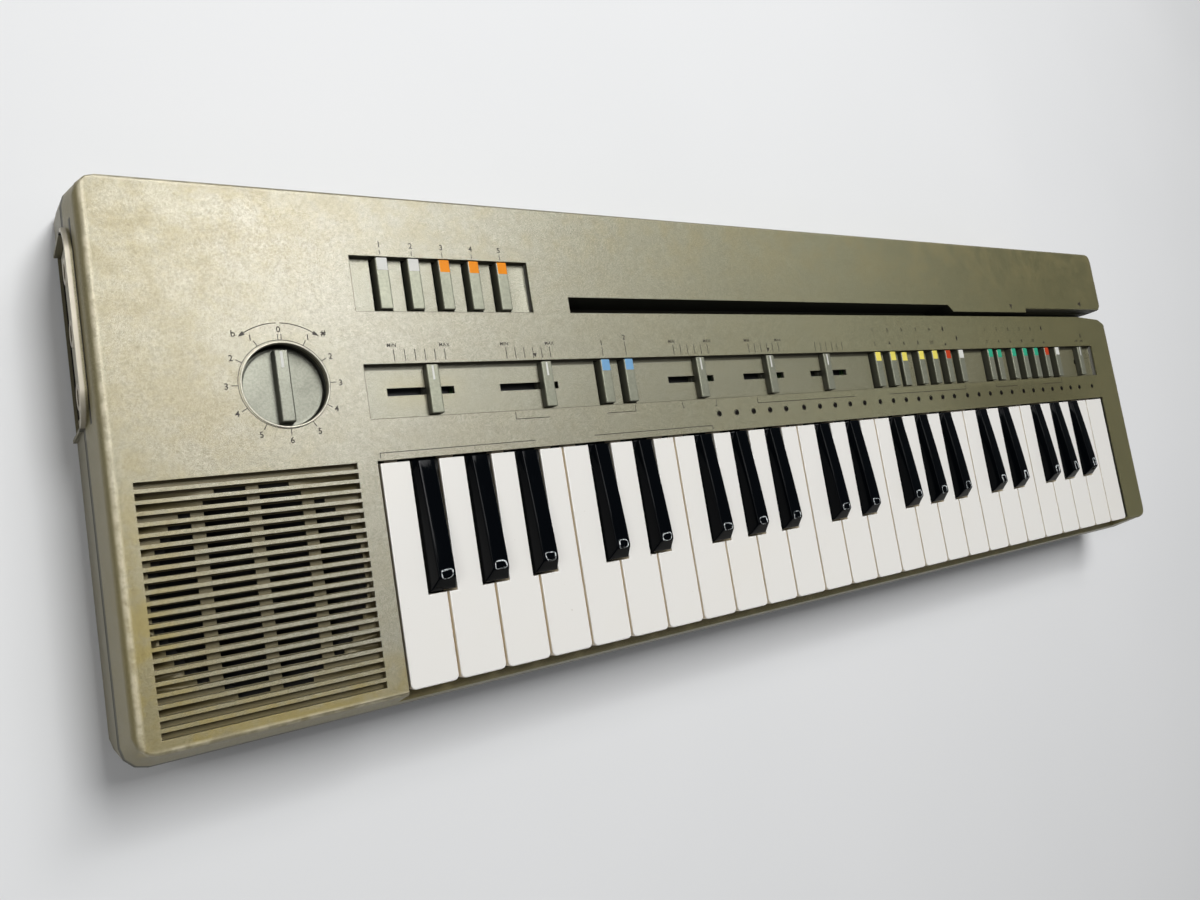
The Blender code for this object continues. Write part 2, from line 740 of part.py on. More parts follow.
def top_case(look):
    inner = skin("upper_hollow", upper_shell(WALL, SEAM_Z - FAR, SKIN))
    well_left = KEY_X - RAIL_BACK
    well_right = KEY_X + KEYS_WIDTH + REST_GAP
    card_right = well_left + CARD_WELL_WIDTH
    wall = WELL_WALL
    knob_x, knob_y = knob_centre()
    knob_low = PANEL_Z - KNOB_SUNK - KNOB_DISC - REST_GAP - WELL_FLOOR
    grille_x = WALL_LEFT + GRILLE_LEFT
    grille_rear = KEY_Y + GRILLE_FRONT + GRILLE_ROWS * GRILLE_PITCH
    open_left = KEY_X - OPENING_SIDE
    open_right = KEY_X + KEYS_WIDTH + OPENING_SIDE
    kept = boxes("kept_blocks", [
        ((well_left - wall, MAIN_WELL_Y - wall, WELL_UNDER_Z),
         (well_right + wall, MAIN_WELL_Y + MAIN_WELL_DEPTH + wall, PANEL_Z + FAR)),
        ((well_left - wall, CARD_WELL_Y - wall, WELL_UNDER_Z),
         (card_right + wall, CARD_WELL_Y + CARD_WELL_DEPTH + wall, PANEL_Z + FAR)),
        ((grille_x - wall, KEY_Y + GRILLE_FRONT - wall, PANEL_Z - GROOVE_DEPTH - GRILLE_FLOOR),
         (grille_x + GRILLE_WIDTH + wall, grille_rear + wall, PANEL_Z + FAR)),
    ])
    pillars = board_pillars(POSTS, MAIN_WELL_Y + MAIN_WELL_DEPTH / 2)
    pillars += board_pillars(CARD_POSTS, CARD_WELL_Y + CARD_WELL_DEPTH / 2)
    trench_z = PANEL_Z - TRENCH_DEPTH
    trench = prism_z("trench_block", trench_outline(TRENCH_WALL), trench_z - TRENCH_WALL, PANEL_Z + FAR)
    knob_block = circle(knob_x, knob_y, KNOB_HOLE + wall, KNOB_SIDES)
    knob_well = prism_z("knob_block", knob_block, knob_low, PANEL_Z + FAR)
    outer_left = open_left - OPENING_WALL
    outer_right = open_right + OPENING_WALL
    cheek_z = KEY_Z - OPENING_DEPTH
    cheeks = boxes("cheek_walls", [
        ((outer_left, KEY_Y - FAR, cheek_z), (open_left, OPENING_REAR, PANEL_Z + FAR)),
        ((open_right, KEY_Y - FAR, cheek_z), (outer_right, OPENING_REAR, PANEL_Z + FAR)),
    ])
    rail = boxes("front_rail", [((outer_left, KEY_Y - FAR, SEAM_Z - FAR * 2),
                                 (outer_right, KEY_Y - RAIL_BACK, KEY_Z - RAIL_DROP))])
    bosses = prisms_z("upper_bosses", [circle(x, y, BOSS_RADIUS, BOSS_SIDES) for x, y in boss_places()],
                      SEAM_Z, PANEL_Z + FAR)
    for block in (kept, trench, knob_well, cheeks, rail, bosses, boxes("board_pillars", pillars)):
        cut(inner, block)
    body = skin("top_case", upper_shell(0.0, SEAM_Z + SEAM_GAP / 2, 0.0), look)
    fuse(body, bay_rim("upper_rim", PANEL_Z, SEAM_Z + SEAM_GAP / 2))
    cut(body, inner)
    key_room = [(KEY_Y - FAR, KEY_Z - RAIL_DROP), (KEY_Y - RAIL_BACK, KEY_Z - RAIL_DROP),
                (KEY_Y - RAIL_BACK, SEAM_Z - FAR), (OPENING_REAR, SEAM_Z - FAR),
                (OPENING_REAR, PANEL_Z + FAR), (KEY_Y - FAR, PANEL_Z + FAR)]
    cut(body, prism_x("key_room", key_room, open_left, open_right))
    main_rear = MAIN_WELL_Y + MAIN_WELL_DEPTH
    card_rear = CARD_WELL_Y + CARD_WELL_DEPTH
    wells = [
        ((well_left, MAIN_WELL_Y, WELL_FLOOR_Z), (well_right, main_rear, PANEL_Z + FAR)),
        ((well_left, CARD_WELL_Y, WELL_FLOOR_Z), (card_right, card_rear, PANEL_Z + FAR)),
    ]
    cut(body, boxes("wells", wells))
    half = CAP_WIDTH / 2 + CAP_SIDE_GAP
    holes = []
    for x in main_buttons():
        holes.append(((x - half, MAIN_WELL_Y + REST_GAP, WELL_UNDER_Z - WALL),
                      (x + half, MAIN_WELL_Y + MAIN_WELL_DEPTH - REST_GAP, PANEL_Z)))
    for x in button_places(CARD_FIRST, CARD_COUNT, CARD_PITCH):
        holes.append(((x - half, CARD_WELL_Y + REST_GAP, WELL_UNDER_Z - WALL),
                      (x + half, CARD_WELL_Y + CARD_WELL_DEPTH - REST_GAP, PANEL_Z)))
    slot_y = MAIN_WELL_Y + MAIN_WELL_DEPTH / 2
    for x, reach in slot_spans():
        holes.append(((x - reach, slot_y - SLOT_WIDTH / 2, WELL_UNDER_Z - WALL),
                      (x + reach, slot_y + SLOT_WIDTH / 2, PANEL_Z)))
    cut(body, boxes("well_holes", holes))
    cut(body, prism_z("card_trench", trench_outline(0.0), trench_z, PANEL_Z + FAR))
    cut(body, mouth_bevel())
    knob_hole = circle(knob_x, knob_y, KNOB_HOLE, KNOB_SIDES)
    cut(body, prism_z("knob_hole", knob_hole, knob_low + WELL_FLOOR, PANEL_Z + FAR))
    cut(body, prism_z("shaft_hole", circle(knob_x, knob_y, KNOB_SHAFT + KNOB_GAP, KNOB_SIDES // 2),
                      knob_low - WALL, PANEL_Z))
    lamp_y = OPENING_REAR + LAMP_BACK
    lamps = [circle(x, lamp_y, LAMP_RADIUS, LAMP_SIDES) for x in tail_centres()[-LAMP_COUNT:]]
    cut(body, prisms_z("lamp_holes", lamps, PANEL_Z - SKIN * 2, PANEL_Z + FAR))
    cut(body, grille_grooves())
    cut(body, sound_openings())
    cut(body, bay_hole("upper_bay", SEAM_Z - FAR))
    return body


def seam_ring(z, inset):
    """Outline of the case at the seam, at any height."""
    return case_ring(z, FRONT_LEAN, SIDE_LEAN, REAR_LEAN, CORNER_SEAM, inset)


def lower_shell(inset, low, high):
    """Rings of the lower case from its base to the seam, drawn in by inset."""
    front = FRONT_LEAN * FRONT_BELOW
    rear = REAR_LEAN + REAR_LEAN_LOW
    bevel = BASE_CHAMFER
    rings = [case_ring(low, front - bevel, SIDE_LEAN - bevel, rear - bevel, CORNER_SEAM, inset),
             case_ring(low + bevel, front, SIDE_LEAN, rear, CORNER_SEAM, inset),
             seam_ring(SEAM_Z - SEAM_GAP / 2, inset)]
    if high > SEAM_Z:
        rings.append(seam_ring(high, inset))
    return rings


def seam_lip():
    """Lip that stands up from the lower case inside the upper one, clear of its rail and trench."""
    inset = WALL + REST_GAP
    low = SEAM_Z - LIP_HEIGHT
    top = SEAM_Z + LIP_HEIGHT
    step = SEAM_Z - SEAM_GAP
    within = inset + LIP_WALL
    lip = skin("seam_lip", [seam_ring(low, WALL / 2), seam_ring(step, WALL / 2), seam_ring(step, inset),
                            wall_ring(top, inset)])
    cut(lip, skin("lip_hollow", [seam_ring(low - LIP_HEIGHT, within), seam_ring(step, within),
                                 wall_ring(top + LIP_HEIGHT, within)]))
    clear = OPENING_SIDE + OPENING_WALL + REST_GAP
    around = TRENCH_WALL + REST_GAP
    return cut(lip, boxes("lip_gaps", [
        ((KEY_X - clear, KEY_Y - FAR, step), (KEY_X + KEYS_WIDTH + clear, KEY_Y, SEAM_Z + FAR)),
        ((WALL_RIGHT - FAR, TRENCH_Y - around, PANEL_Z - TRENCH_DEPTH - around),
         (WALL_RIGHT, TRENCH_Y + TRENCH_WIDTH + around, SEAM_Z + FAR)),
    ]))


def battery_box():
    """Low and high corner of the battery room, open at the base and closed by the cover."""
    x0 = WALL_LEFT + BATTERY_LEFT
    y0 = OPENING_REAR + BATTERY_FRONT
    return (x0, y0, FOOT_HEIGHT), (x0 + BATTERY_WIDTH, FACE_REAR, FOOT_HEIGHT + BATTERY_HEIGHT)


def prism_y(name, outline, low, high, look=None):
    """A clockwise (x, z) outline, seen from +Y, run from low to high."""
    return skin(name, [[(x, y, z) for x, z in reversed(outline)] for y in (low, high)], look)


def cover_profile(gap):
    """Cross-section of the battery cover: a plate with a wider upper lip that rides on ledges.

    With no gap it is the opening for the cover, run past the floor above and below.
    """
    (x0, y0, z0), (x1, y1, z1) = battery_box()
    left = x0 + COVER_LIP + BATTERY_WALL + gap
    right = x1 - COVER_LIP - BATTERY_WALL - gap
    step = FOOT_HEIGHT + COVER_LEDGE + gap
    top = FOOT_HEIGHT + SKIN - gap
    base = FOOT_HEIGHT
    if gap == 0:
        top += REST_GAP
        base -= FAR
    return [(left, base), (right, base), (right, step), (right + COVER_LIP, step), (right + COVER_LIP, top),
            (left - COVER_LIP, top), (left - COVER_LIP, step), (left, step)]


def rear_at_base():
    return FACE_REAR + REAR_LEAN + REAR_LEAN_LOW - BASE_CHAMFER


def main_board_corners():
    x0 = at_key(MAIN_BOARD_START)
    x1 = at_key(WHITE_COUNT) - BOSS_RADIUS * 2
    y0 = OPENING_REAR + MAIN_BOARD_FRONT
    z0 = FOOT_HEIGHT + SKIN + MAIN_BOARD_HEIGHT
    return (x0, y0, z0), (x1, y0 + MAIN_BOARD_DEPTH, z0 + MAIN_BOARD_THICKNESS)


def bottom_case(look):
    (bx0, by0, bz0), (bx1, by1, bz1) = battery_box()
    wall = BATTERY_WALL
    floor = FOOT_HEIGHT + SKIN
    base = floor - SKIN / 2
    (mx0, my0, mz0), (mx1, my1, mz1) = main_board_corners()
    corner = BOSS_RADIUS
    posts = [(x, y) for x in (mx0 + corner, mx1 - corner) for y in (my0 + corner, my1 - corner)]
    post_plans = [circle(x, y, BOSS_RADIUS, BOSS_SIDES) for x, y in posts]
    boss_plans = [circle(x, y, BOSS_RADIUS, BOSS_SIDES) for x, y in boss_places()]
    around = ((bx0 - wall, by0 - wall, base), (bx1 + wall, by1 + FAR, bz1 + wall))
    hollow = skin("lower_hollow", lower_shell(WALL, floor, SEAM_Z + FAR))
    cut(hollow, boxes("battery_walls", [around]))
    cut(hollow, prisms_z("lower_bosses", boss_plans, base, SEAM_Z - REST_GAP))
    cut(hollow, prisms_z("board_posts", post_plans, base, mz0 - REST_GAP))
    body = skin("bottom_case", lower_shell(0.0, FOOT_HEIGHT, 0.0), look)
    fuse(body, bay_rim("lower_rim", SEAM_Z - SEAM_GAP / 2, floor))
    cut(body, hollow)
    fuse(body, seam_lip())
    cut(body, boxes("battery_room", [((bx0, by0, floor), (bx1, by1 - WALL, bz1))]))
    cut(body, prism_y("cover_opening", cover_profile(0.0), by0, rear_at_base() + FAR))
    cut(body, bay_hole("lower_bay", floor))
    feet = [circle(x, y, FOOT_RADIUS, FOOT_SIDES) for x, y in foot_places()]
    return fuse(body, prisms_z("feet", feet, 0.0, base))


def foot_places():
    reach = FOOT_RADIUS * 2
    left = WALL_LEFT + reach
    right = WALL_RIGHT - reach
    front = KEY_Y + reach / 2
    rear = FACE_REAR - reach / 2
    return [(left, front), (right, front), (left, rear - FOOT_RADIUS), (right, rear - FOOT_RADIUS)]


def battery_cover(look):
    (x0, y0, z0), (x1, y1, z1) = battery_box()
    return prism_y("battery_cover", cover_profile(REST_GAP), y0 + REST_GAP, rear_at_base(), look)


def socket_panel(look):
    """Plate behind the bay's rim on two legs, with round sockets."""
    x0 = WALL_LEFT + BAY_RECESS
    edge = BAY_RIM + REST_GAP
    outline = bay_outline(edge, FOOT_HEIGHT + SKIN + REST_GAP)
    y0, low = outline[0]
    y1 = outline[1][0]
    near = y0 + BAY_LEG
    far = y1 - BAY_LEG
    step = [(near, low), (near, low + BAY_DARK), (far, low + BAY_DARK), (far, low)]
    body = prism_x("socket_panel", [outline[0]] + step + outline[1:], x0, x0 + BAY_PLATE, look)
    middle = PANEL_Z - BAY_TOP - SOCKET_DROP
    for k in range(SOCKET_COUNT):
        y = y0 + (y1 - y0) * (k + 0.5) / SOCKET_COUNT
        hole = [(y + v, middle + w) for v, w in circle(0.0, 0.0, SOCKET_RADIUS, SOCKET_SIDES)]
        cut(body, prism_x(f"socket_{k}", hole, x0 - FAR, x0 + FAR))
    return body


# Panel controls
def knob_centre():
    return WALL_LEFT + KNOB_LEFT, OPENING_REAR + KNOB_BACK


def cap_box(x, y0, y1, low, pressed=0.0):
    """Corners of a push button's cap in a well that runs from y0 to y1."""
    half = CAP_WIDTH / 2
    return (x - half, y0 + CAP_END_GAP, low), (x + half, y1 - CAP_END_GAP, PANEL_Z + CAP_RISE - pressed)


def slot_spans():
    """(middle, half length) of the slot of every slider and of the power switch."""
    ends = CAP_WIDTH / 2 + SLOT_CLEAR
    spans = [(at_key(middle), SLIDER_TRAVEL / 2 + ends) for name, middle, present in SLIDERS]
    return spans + [(at_key(POWER_PLACE) + POWER_TRAVEL / 2, POWER_TRAVEL / 2 + ends)]


def control_board(look):
    """Board under the main well: push buttons up through the well floor, a track under each slider."""
    top = PANEL_Z - BOARD_DEPTH
    core = top - BOARD_THICKNESS / 2
    left = knob_centre()[0] - KNOB_HOLE
    right = at_key(WHITE_COUNT) - WELL_WALL
    rear = MAIN_WELL_Y + MAIN_WELL_DEPTH
    body = boxes("control_board", [((left, MAIN_WELL_Y + CAP_END_GAP * 2, top - BOARD_THICKNESS),
                                    (right, rear - CAP_END_GAP * 2, top))], look)
    down = (CHORD_COUNT + RHYTHM_PRESSED, CHORD_COUNT + RHYTHM_COUNT + VOICE_PRESSED)
    parts = []
    for k, x in enumerate(main_buttons()):
        parts.append(cap_box(x, MAIN_WELL_Y, rear, core, PRESSED if k in down else 0.0))
    near = (MAIN_WELL_Y + rear - CARRIAGE_DEPTH) / 2
    track = WELL_UNDER_Z - REST_GAP * 2 - CARRIAGE_HEIGHT
    for x, reach in slot_spans():
        parts.append(((x - reach, near, core), (x + reach, near + CARRIAGE_DEPTH, track)))
    return fuse(body, boxes("main_caps", parts))


def card_board(look):
    """Board under the card well with its five push buttons."""
    top = PANEL_Z - BOARD_DEPTH
    rear = CARD_WELL_Y + CARD_WELL_DEPTH
    right = KEY_X + CARD_WELL_WIDTH - WELL_WALL
    body = boxes("card_button_board", [((KEY_X, CARD_WELL_Y + CAP_END_GAP * 2, top - BOARD_THICKNESS),
                                        (right, rear - CAP_END_GAP * 2, top))], look)
    places = button_places(CARD_FIRST, CARD_COUNT, CARD_PITCH)
    caps = [cap_box(x, CARD_WELL_Y, rear, top - BOARD_THICKNESS / 2) for x in places]
    return fuse(body, boxes("card_caps", caps))


def slider(name, x, look):
    """Cap, stem through the slot and carriage under the well floor, in one moulded piece."""
    middle = MAIN_WELL_Y + MAIN_WELL_DEPTH / 2
    cap = MAIN_WELL_DEPTH / 2 - CAP_END_GAP
    stem = SLOT_WIDTH / 2 - REST_GAP
    foot = CARRIAGE_DEPTH / 2
    base = WELL_FLOOR_Z + REST_GAP
    hang = WELL_UNDER_Z - REST_GAP
    right = [(foot, hang - CARRIAGE_HEIGHT), (foot, hang), (stem, hang), (stem, base), (cap, base),
             (cap, PANEL_Z + CAP_RISE)]
    outline = [(middle + y, z) for y, z in right] + [(middle - y, z) for y, z in reversed(right)]
    return seat(prism_x(name, outline, x - CAP_WIDTH / 2, x + CAP_WIDTH / 2, look), x, middle, WELL_FLOOR_Z)


def transposer_knob(look):
    """Sunk disc with a finger bar across it and a short shaft in the well floor."""
    x, y = knob_centre()
    top = PANEL_Z - KNOB_SUNK
    low = top - KNOB_DISC
    core = low + KNOB_DISC / 2
    half = KNOB_BAR_WIDTH / 2
    reach = KNOB_BAR_LENGTH / 2
    body = prism_z("transposer_knob", circle(x, y, KNOB_HOLE - KNOB_GAP, KNOB_SIDES), low, top, look)
    bar_top = PANEL_Z - KNOB_BAR_SUNK
    fuse(body, boxes("knob_bar", [((x - half, y - reach, core), (x + half, y + reach, bar_top))]))
    fuse(body, prism_z("knob_shaft", circle(x, y, KNOB_SHAFT, KNOB_SIDES // 2),
                       PANEL_Z - BOARD_DEPTH + REST_GAP, core))
    return shade_round(seat(body, x, y, top))


# Inner assemblies
def loudspeaker(look):
    """Flange under the grille, basket tapering to the magnet, and the cone's hollow."""
    x = WALL_LEFT + GRILLE_LEFT + GRILLE_WIDTH / 2
    y = KEY_Y + GRILLE_FRONT + (GRILLE_ROWS * GRILLE_PITCH - GRILLE_RIB) / 2 + SOUND_SHIFT
    top = PANEL_Z - GROOVE_DEPTH - GRILLE_FLOOR - REST_GAP
    waist = SPEAKER_DEPTH * 0.6
    profile = [(MAGNET_SHARE, SPEAKER_DEPTH), (MAGNET_SHARE, waist), (BASKET_SHARE, waist),
               (1 - RIM_SHARE / 2, SPEAKER_FLANGE), (1.0, SPEAKER_FLANGE), (1.0, 0.0),
               (1 - RIM_SHARE, 0.0), (1 - RIM_SHARE, SPEAKER_FLANGE / 2), (MAGNET_SHARE, waist / 2),
               (CAP_SHARE, waist / 2 + SPEAKER_FLANGE / 2)]
    rings = []
    for share, drop in profile:
        plan = circle(x, y, SPEAKER_RADIUS * share, SPEAKER_SIDES)
        rings.append([(px, py, top - drop) for px, py in plan])
    return shade_round(skin("loudspeaker", rings, look))


def main_board(look):
    low, high = main_board_corners()
    body = boxes("main_circuit_board", [(low, high)], look)
    chips = []
    for k in range(CHIP_COUNT):
        x = low[0] + (high[0] - low[0]) * (k + 1) / (CHIP_COUNT + 1)
        y = (low[1] + high[1]) / 2
        chips.append(((x - CHIP_LENGTH / 2, y - CHIP_WIDTH / 2, (low[2] + high[2]) / 2),
                      (x + CHIP_LENGTH / 2, y + CHIP_WIDTH / 2, high[2] + CHIP_HEIGHT)))
    return fuse(body, boxes("chips", chips))


def main():
    for thing in list(bpy.data.objects):
        bpy.data.objects.remove(thing, do_unlink=True)
    gold = material("painted_case", (0.50, 0.47, 0.35), 0.42, 0.25)
    silver = material("control_silver", (0.42, 0.43, 0.37), 0.40, 0.35)
    ivory = material("white_key", (0.80, 0.78, 0.72), 0.35)
    ebony = material("black_key", (0.010, 0.012, 0.018), 0.12)
    dark = material("frame", (0.06, 0.06, 0.06), 0.6)
    green = material("circuit_board", (0.10, 0.16, 0.06), 0.5)
    grey = material("socket_plate", (0.33, 0.32, 0.28), 0.5)
    cone = material("speaker", (0.03, 0.03, 0.03), 0.7)
    top_case(gold)
    bottom_case(gold)
    battery_cover(gold)
    socket_panel(grey)
    key_frame(dark)
    main_board(green)
    control_board(silver)
    card_board(silver)
    loudspeaker(cone)
    transposer_knob(silver)
    for name, middle, present in SLIDERS:
        slider(name, at_key(present), silver)
    slider("power_switch", at_key(POWER_PLACE), silver)
    for index, sides in enumerate(white_sides()):
        white_key(index, sides, ivory)
    for number, black_place in enumerate(black_layout()):
        black_key(number + 1, black_place, ebony)


main()
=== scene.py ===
"""Looks of the portable keyboard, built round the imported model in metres.

The row frame is kept: +X runs along the keys to the highest note, +Y from the player
to the rear, +Z up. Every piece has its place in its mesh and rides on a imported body.
"""
import json
import math
from functools import cache

import bmesh
import bpy
import numpy as np
from bpy.props import FloatProperty, FloatVectorProperty, PointerProperty
from mathutils import Matrix, Vector

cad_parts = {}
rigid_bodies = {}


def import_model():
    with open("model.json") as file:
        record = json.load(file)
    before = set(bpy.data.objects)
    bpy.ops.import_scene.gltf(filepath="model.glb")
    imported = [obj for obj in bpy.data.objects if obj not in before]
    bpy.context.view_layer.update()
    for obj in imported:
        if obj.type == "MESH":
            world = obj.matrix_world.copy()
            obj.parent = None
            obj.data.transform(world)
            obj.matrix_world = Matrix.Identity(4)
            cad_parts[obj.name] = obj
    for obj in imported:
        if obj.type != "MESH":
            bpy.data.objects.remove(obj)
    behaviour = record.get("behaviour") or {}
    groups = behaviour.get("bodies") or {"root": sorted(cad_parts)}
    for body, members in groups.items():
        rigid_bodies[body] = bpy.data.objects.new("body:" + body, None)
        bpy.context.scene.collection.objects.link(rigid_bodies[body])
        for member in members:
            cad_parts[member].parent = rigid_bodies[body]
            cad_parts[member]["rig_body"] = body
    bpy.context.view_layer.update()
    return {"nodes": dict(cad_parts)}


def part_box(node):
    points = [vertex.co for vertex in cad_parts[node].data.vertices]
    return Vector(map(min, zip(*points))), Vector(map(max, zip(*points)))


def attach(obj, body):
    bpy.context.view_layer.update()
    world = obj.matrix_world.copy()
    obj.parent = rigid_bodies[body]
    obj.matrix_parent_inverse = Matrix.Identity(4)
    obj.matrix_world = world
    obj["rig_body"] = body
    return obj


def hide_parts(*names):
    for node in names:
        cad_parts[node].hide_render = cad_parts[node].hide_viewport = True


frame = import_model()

bl_info = {
    "name": "Portable Keyboard Looks",
    "version": (1, 0, 0),
    "blender": (4, 5, 0),
    "location": "View3D > Sidebar > Keyboard",
    "description": "Dresses a packed mini-key keyboard in paint, plastic and print",
    "category": "Object",
}

# Sizes that the pieces share, in metres: the case
PACKED_GAP = 0.0008
KEY_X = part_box("white_key_01")[0].x - PACKED_GAP / 2
KEY_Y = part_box("white_key_01")[0].y
KEY_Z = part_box("white_key_01")[1].z
PITCH = 0.0191
WHITES = 26
OPENING_REAR = KEY_Y + 0.08
PANEL_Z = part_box("top_case")[1].z
BASE_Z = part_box("battery_cover")[0].z
SEAM_Z = PANEL_Z - 0.02
FACE_LEFT = KEY_X - 0.083
FACE_RIGHT = KEY_X + WHITES * PITCH + 0.0214
FACE_REAR = KEY_Y + 0.177
LEFT, RIGHT = (corner.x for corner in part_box("bottom_case"))
WELL_Z = PANEL_Z - 0.003
WELL_LEFT = KEY_X - 0.001
MAIN_WELL = (KEY_Y + 0.095, KEY_Y + 0.1147)
CARD_WELL = (KEY_Y + 0.1342, KEY_Y + 0.1548)
WELL_LENGTHS = ((MAIN_WELL, 0.498), (CARD_WELL, 0.0733))
BAY = (FACE_REAR - 0.0767, FACE_REAR - 0.011, PANEL_Z - 0.0075)

# Keys
KEY_GAP = 0.0009
KEY_DRAFT = 0.0003
KEY_CORNER = 0.002
REAR_GAP = 0.0008
HEAD_LENGTH = 0.0312
WHITE_HEIGHT = 0.012
WHITE_WALL = 0.0016
BLACK_WIDTH = 0.0101
BLACK_GAP = 0.0006
BLACK_SHIFT = 0.0005
GROUP_SPREAD = 0.0024
PAIR_SPREAD = 0.00165
BLACK_FRONT = 0.032
BLACK_RUN = 0.0044
BLACK_RISE = 0.0058
BLACK_DROP = 0.0046
BLACK_ARCH = 0.28
BLACK_LIP = 0.0006
BLACK_TAPER = 0.33
BLACK_INSET = 0.0016
BLACK_SKIRT = 0.009
ROD = (OPENING_REAR + 0.0075, KEY_Z - 0.0065)
ROD_RADIUS = 0.002
HOOK_WALL = 0.0012
HOOK_WIDTH = 0.005

# Controls; places along X are counted in white keys
CAP_WIDTH = 0.0047
CAP_RISE = 0.0008
CAP_END_GAP = 0.0007
TIP_LENGTH = 0.0047
PRESSED = 0.0019
BOARD_DEPTH = 0.0096
SLIDER_PLACES = (1.089, 3.508, 7.906, 10.283, 12.665)
SLIDER_REACH = 0.01
SWITCH_PLACE = 25.14
SWITCH_REACH = 0.002
BANK_PLACES = ((5.375, 2), (14.55, 7), (19.88, 7))
BANK_PITCH = 12.15
CARD_PLACE = 0.56
CARD_PITCH = 0.0124
KNOB_DEPTH = 0.005
KNOB_WALL = 0.01418
KNOB_SIDES = 96
LAMP_Y = OPENING_REAR + 0.0078
PROUD = 0.00004
INK_RISE = 0.00004
INK_ROOT = 0.00002


# Nodes as expressions
def maths(operation, turned=False):
    """A method that adds a Math node for two values, turned round for a reflected form."""
    def method(self, other):
        pair = (other, self) if turned else (self, other)
        return self.tree.node("ShaderNodeMath", {"operation": operation}, dict(enumerate(pair)))
    return method


class Wire:
    """A shader socket. Arithmetic on it adds Math nodes to its tree; low is the lesser of two."""

    __add__, __radd__ = maths("ADD"), maths("ADD", True)
    __sub__, __rsub__ = maths("SUBTRACT"), maths("SUBTRACT", True)
    __mul__, __rmul__ = maths("MULTIPLY"), maths("MULTIPLY", True)
    low = maths("MINIMUM")

    def __init__(self, tree, socket):
        self.tree = tree
        self.socket = socket

    def ramp(self, start, stop):
        """0 below start, 1 above stop and a smooth rise between."""
        return self.tree.node("ShaderNodeMapRange", {"interpolation_type": "SMOOTHSTEP"}, {
            "Value": self, "From Min": start, "From Max": stop})

    def fall(self, start, stop):
        """1 below start, 0 above stop and a smooth fall between."""
        return 1 - self.ramp(start, stop)

    def inside(self, low, high, soft=0.0003):
        """1 between low and high, with soft edges."""
        return self.ramp(low - soft, low + soft) * self.fall(high - soft, high + soft)


class Tree:
    """The nodes of a material or of the surroundings, each made by one method."""

    def __init__(self, owner):
        owner.use_nodes = True
        self.nodes = owner.node_tree.nodes
        self.links = owner.node_tree.links

    def node(self, kind, settings=None, values=None, out=0):
        """One node of a type, with its settings, then the values or links of its sockets."""
        made = self.nodes.new(kind)
        for key, value in (settings or {}).items():
            setattr(made, key, value)
        self.fill(made, values or {})
        return Wire(self, made.outputs[out])

    def fill(self, node, values):
        """Set sockets of a node, or link to them what varies over the surface."""
        for key, value in values.items():
            if isinstance(value, Wire):
                self.links.new(value.socket, node.inputs[key])
            else:
                node.inputs[key].default_value = value


class Look(Tree):
    """A material made of a Principled shader and the nodes that feed it."""

    def __init__(self, name, colour, roughness, metallic=0.0):
        self.material = bpy.data.materials.new(name)
        super().__init__(self.material)
        self.material.diffuse_color = (*colour, 1.0)
        self.feed({"Base Color": (*colour, 1.0), "Roughness": roughness, "Metallic": metallic})
        self.place = self.node("ShaderNodeTexCoord", out="Object")

    def feed(self, values):
        """Set or link sockets of the shader."""
        self.fill(self.nodes["Principled BSDF"], values)

    def axes(self):
        """X, Y and Z of the place on the object."""
        made = self.node("ShaderNodeSeparateXYZ", {}, {0: self.place})
        return [Wire(self, part) for part in made.socket.node.outputs]

    def times(self, first, second):
        """The product of two vectors, axis by axis."""
        return self.node("ShaderNodeVectorMath", {"operation": "MULTIPLY"}, {0: first, 1: second})

    def noise(self, scale, detail, rough, stretch=None):
        """Noise over the object, whose axes may be scaled first."""
        place = self.times(self.place, stretch) if stretch else self.place
        return self.node("ShaderNodeTexNoise", {}, {
            "Vector": place, "Scale": scale, "Detail": detail, "Roughness": rough})

    def mix(self, factor, first, second):
        """First colour where the factor is 0, second where it is 1."""
        first, second = [c if isinstance(c, Wire) else (*c, 1.0) for c in (first, second)]
        values = {0: factor, 6: first, 7: second}
        return self.node("ShaderNodeMix", {"data_type": "RGBA"}, values, 2)

    def over(self, colour, *rows):
        """A colour with others laid over it in order, each where its mask is."""
        for mask, tone in rows:
            colour = self.mix(mask, colour, tone)
        return colour

    def shade(self, colour, amount):
        """A colour made lighter or darker by a factor about 1."""
        grey = self.node("ShaderNodeCombineXYZ", {}, {0: amount, 1: amount, 2: amount})
        return self.times(colour, grey)

    def bump(self, height, depth):
        """Lift the surface by a height times a real depth in metres."""
        self.feed({"Normal": self.node("ShaderNodeBump", {}, {
            "Height": height, "Strength": 1.0, "Distance": depth})})
        return self


# Meshes
def added(name, data):
    """A new object in the scene."""
    made = bpy.data.objects.new(name, data)
    bpy.context.scene.collection.objects.link(made)
    return made


def put(name, mesh, looks, node, stands_for, smooth):
    """A finished object of a mesh, which rides on a node's body and may stand for the node."""
    for look in looks:
        mesh.materials.append(look.material)
    mesh.shade_smooth()
    mesh.set_sharp_from_angle(angle=math.radians(smooth))
    mesh.update()
    made = added(name, mesh)
    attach(made, frame["nodes"][node]["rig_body"])
    if stands_for:
        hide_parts(node)
    return made


def grid_faces(rows, columns, first=0):
    """Quads of a grid of points, numbered row by row, its last column joined to the first."""
    i, j = np.meshgrid(np.arange(rows - 1), np.arange(columns), indexing="ij")
    a = first + i * columns + j
    b = first + i * columns + (j + 1) % columns
    return np.stack([a, b, b + columns, a + columns], axis=-1).reshape(-1, 4)


